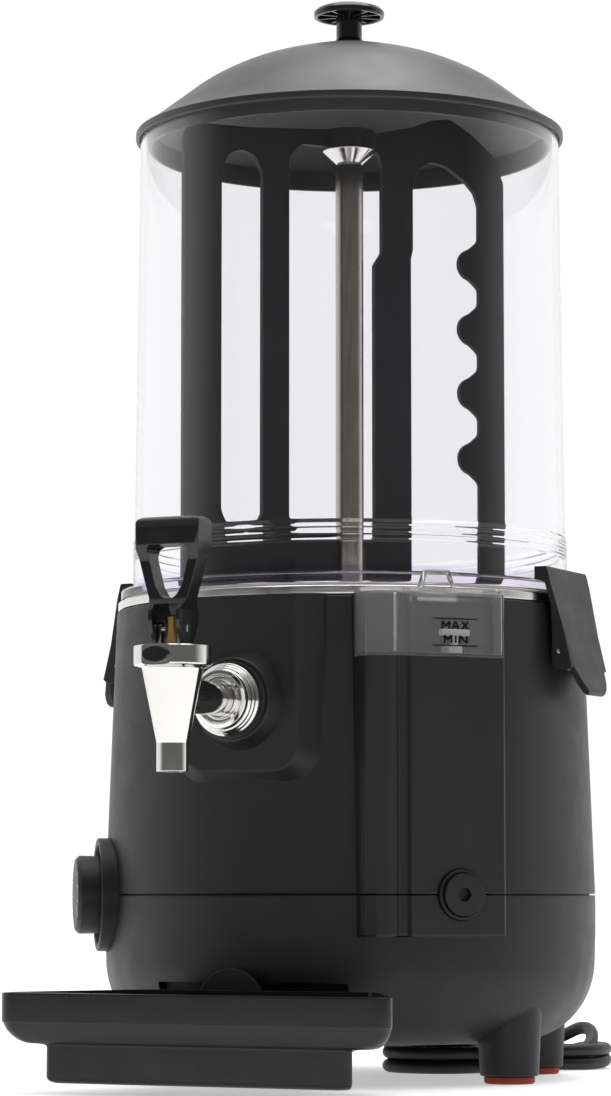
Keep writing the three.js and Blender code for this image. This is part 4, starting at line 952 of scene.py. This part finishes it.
PX, PZ = 181.0, 18.8
plug = lathe_side([(3.6, -78), (4.9, -78, 0.5), (5.6, -86, 0.4), (6.6, -94, 1.0), (11.5, -98, 2.0), (12.2, -104, 1.5), (13.5, -107.4, 1.5), (18.0, -109, 1.2), (18.4, -111, 0.8), (18.4, -118.6, 0.8), (17.6, -119.6, 0.4), (0, -119.6), (0, -90), (3.6, -90)], PX, PZ, 72)
groove = [lathe_side([(12.0 + 0.2 * k, x), (16, x), (16, x - 1.2), (12.0 + 0.2 * k, x - 1.2)], PX, PZ, 64) for k, x in enumerate((-99.4, -101.6, -103.8))]
pins = [lathe_side([(0, -119), (2.4, -119), (2.4, -136.9, 0.4), (1.4, -138.5, 0.6), (0, -138.5)], PX + s * 9.5, PZ, 32) for s in (-1, 1)]
plug = piece("mains_plug", cut(plug, *groove), "base", RUBBER, ["plug"])
for i, p in enumerate(pins):
    pins[i] = piece(f"plug_pin_{i + 1}", p, "base", CHROME)

# ------------------------------------------------------------------ floor, light
floor_me = bpy.data.meshes.new("floor")
S = 12.0
ground = []
N = 24
for j in range(N + 1):
    for i in range(N + 1):
        x, y = (i / N - 0.5) * 2 * S, (j / N - 0.5) * 2 * S
        ground.append((x, y + 0.5, 0.0))
floor_me.from_pydata(ground, [], [(j * (N + 1) + i, j * (N + 1) + i + 1, (j + 1) * (N + 1) + i + 1, (j + 1) * (N + 1) + i) for j in range(N) for i in range(N)])
floor_mat = material("floor", (0.90, 0.90, 0.90), 0.6, rough_by=(3, 0.55, 0.65), tint=0.01, spec=0.2)
fs = floor_mat.node_tree.nodes["Principled BSDF"]
fs.inputs["Emission Color"].default_value = (1, 1, 1, 1)
fs.inputs["Emission Strength"].default_value = 0.46
floor_me.materials.append(floor_mat)
floor = bpy.data.objects.new("floor", floor_me)
scene.collection.objects.link(floor)

world = bpy.data.worlds.new("world")
scene.world = world
world.use_nodes = True
wt = world.node_tree
wn, wl = wt.nodes, wt.links
bg = wn["Background"]
co = wn.new("ShaderNodeTexCoord")
sep = wn.new("ShaderNodeSeparateXYZ")
wl.new(co.outputs["Generated"], sep.inputs["Vector"])


def ramp(socket, a, b, lo, hi):
    r = wn.new("ShaderNodeMapRange")
    r.interpolation_type = "SMOOTHSTEP"
    r.inputs["From Min"].default_value, r.inputs["From Max"].default_value = a, b
    r.inputs["To Min"].default_value, r.inputs["To Max"].default_value = lo, hi
    wl.new(socket, r.inputs["Value"])
    return r.outputs["Result"]


def op(kind, a, b):
    m = wn.new("ShaderNodeMath")
    m.operation = kind
    for k, v in enumerate((a, b)):
        if isinstance(v, (int, float)):
            m.inputs[k].default_value = v
        else:
            wl.new(v, m.inputs[k])
    return m.outputs[0]


# bright behind, at the sides and above; dimmer in front
turned = wn.new("ShaderNodeVectorRotate")
turned.rotation_type = "Z_AXIS"
turned.inputs["Angle"].default_value = rad(-AZ)
wl.new(co.outputs["Generated"], turned.inputs["Vector"])
sep2 = wn.new("ShaderNodeSeparateXYZ")
wl.new(turned.outputs["Vector"], sep2.inputs["Vector"])
back = ramp(sep2.outputs["Y"], -0.40, 0.40, 0.14, 1.04)
high = ramp(sep2.outputs["Z"], 0.25, 0.85, 0.0, 0.55)
strength = op("MAXIMUM", back, high)
wl.new(strength, bg.inputs["Strength"])
bg.inputs["Color"].default_value = (1, 1, 1, 1)


def softbox(name, where, size, power, at=(0, 0.05, 0.28)):
    d = bpy.data.lights.new(name, "AREA")
    d.shape = "RECTANGLE"
    d.size, d.size_y = size
    d.energy = power
    o = bpy.data.objects.new(name, d)
    o.location = where
    o.rotation_euler = (Vector(at) - Vector(where)).to_track_quat("-Z", "Y").to_euler()
    scene.collection.objects.link(o)
    return o


softbox("top", (0.1, 0.2, 2.2), (1.6, 1.6), 29, at=(0, 0, 0))

scene.view_settings.view_transform = "Standard"
scene.view_settings.look = "None"

bpy.data.collections.remove(bench)
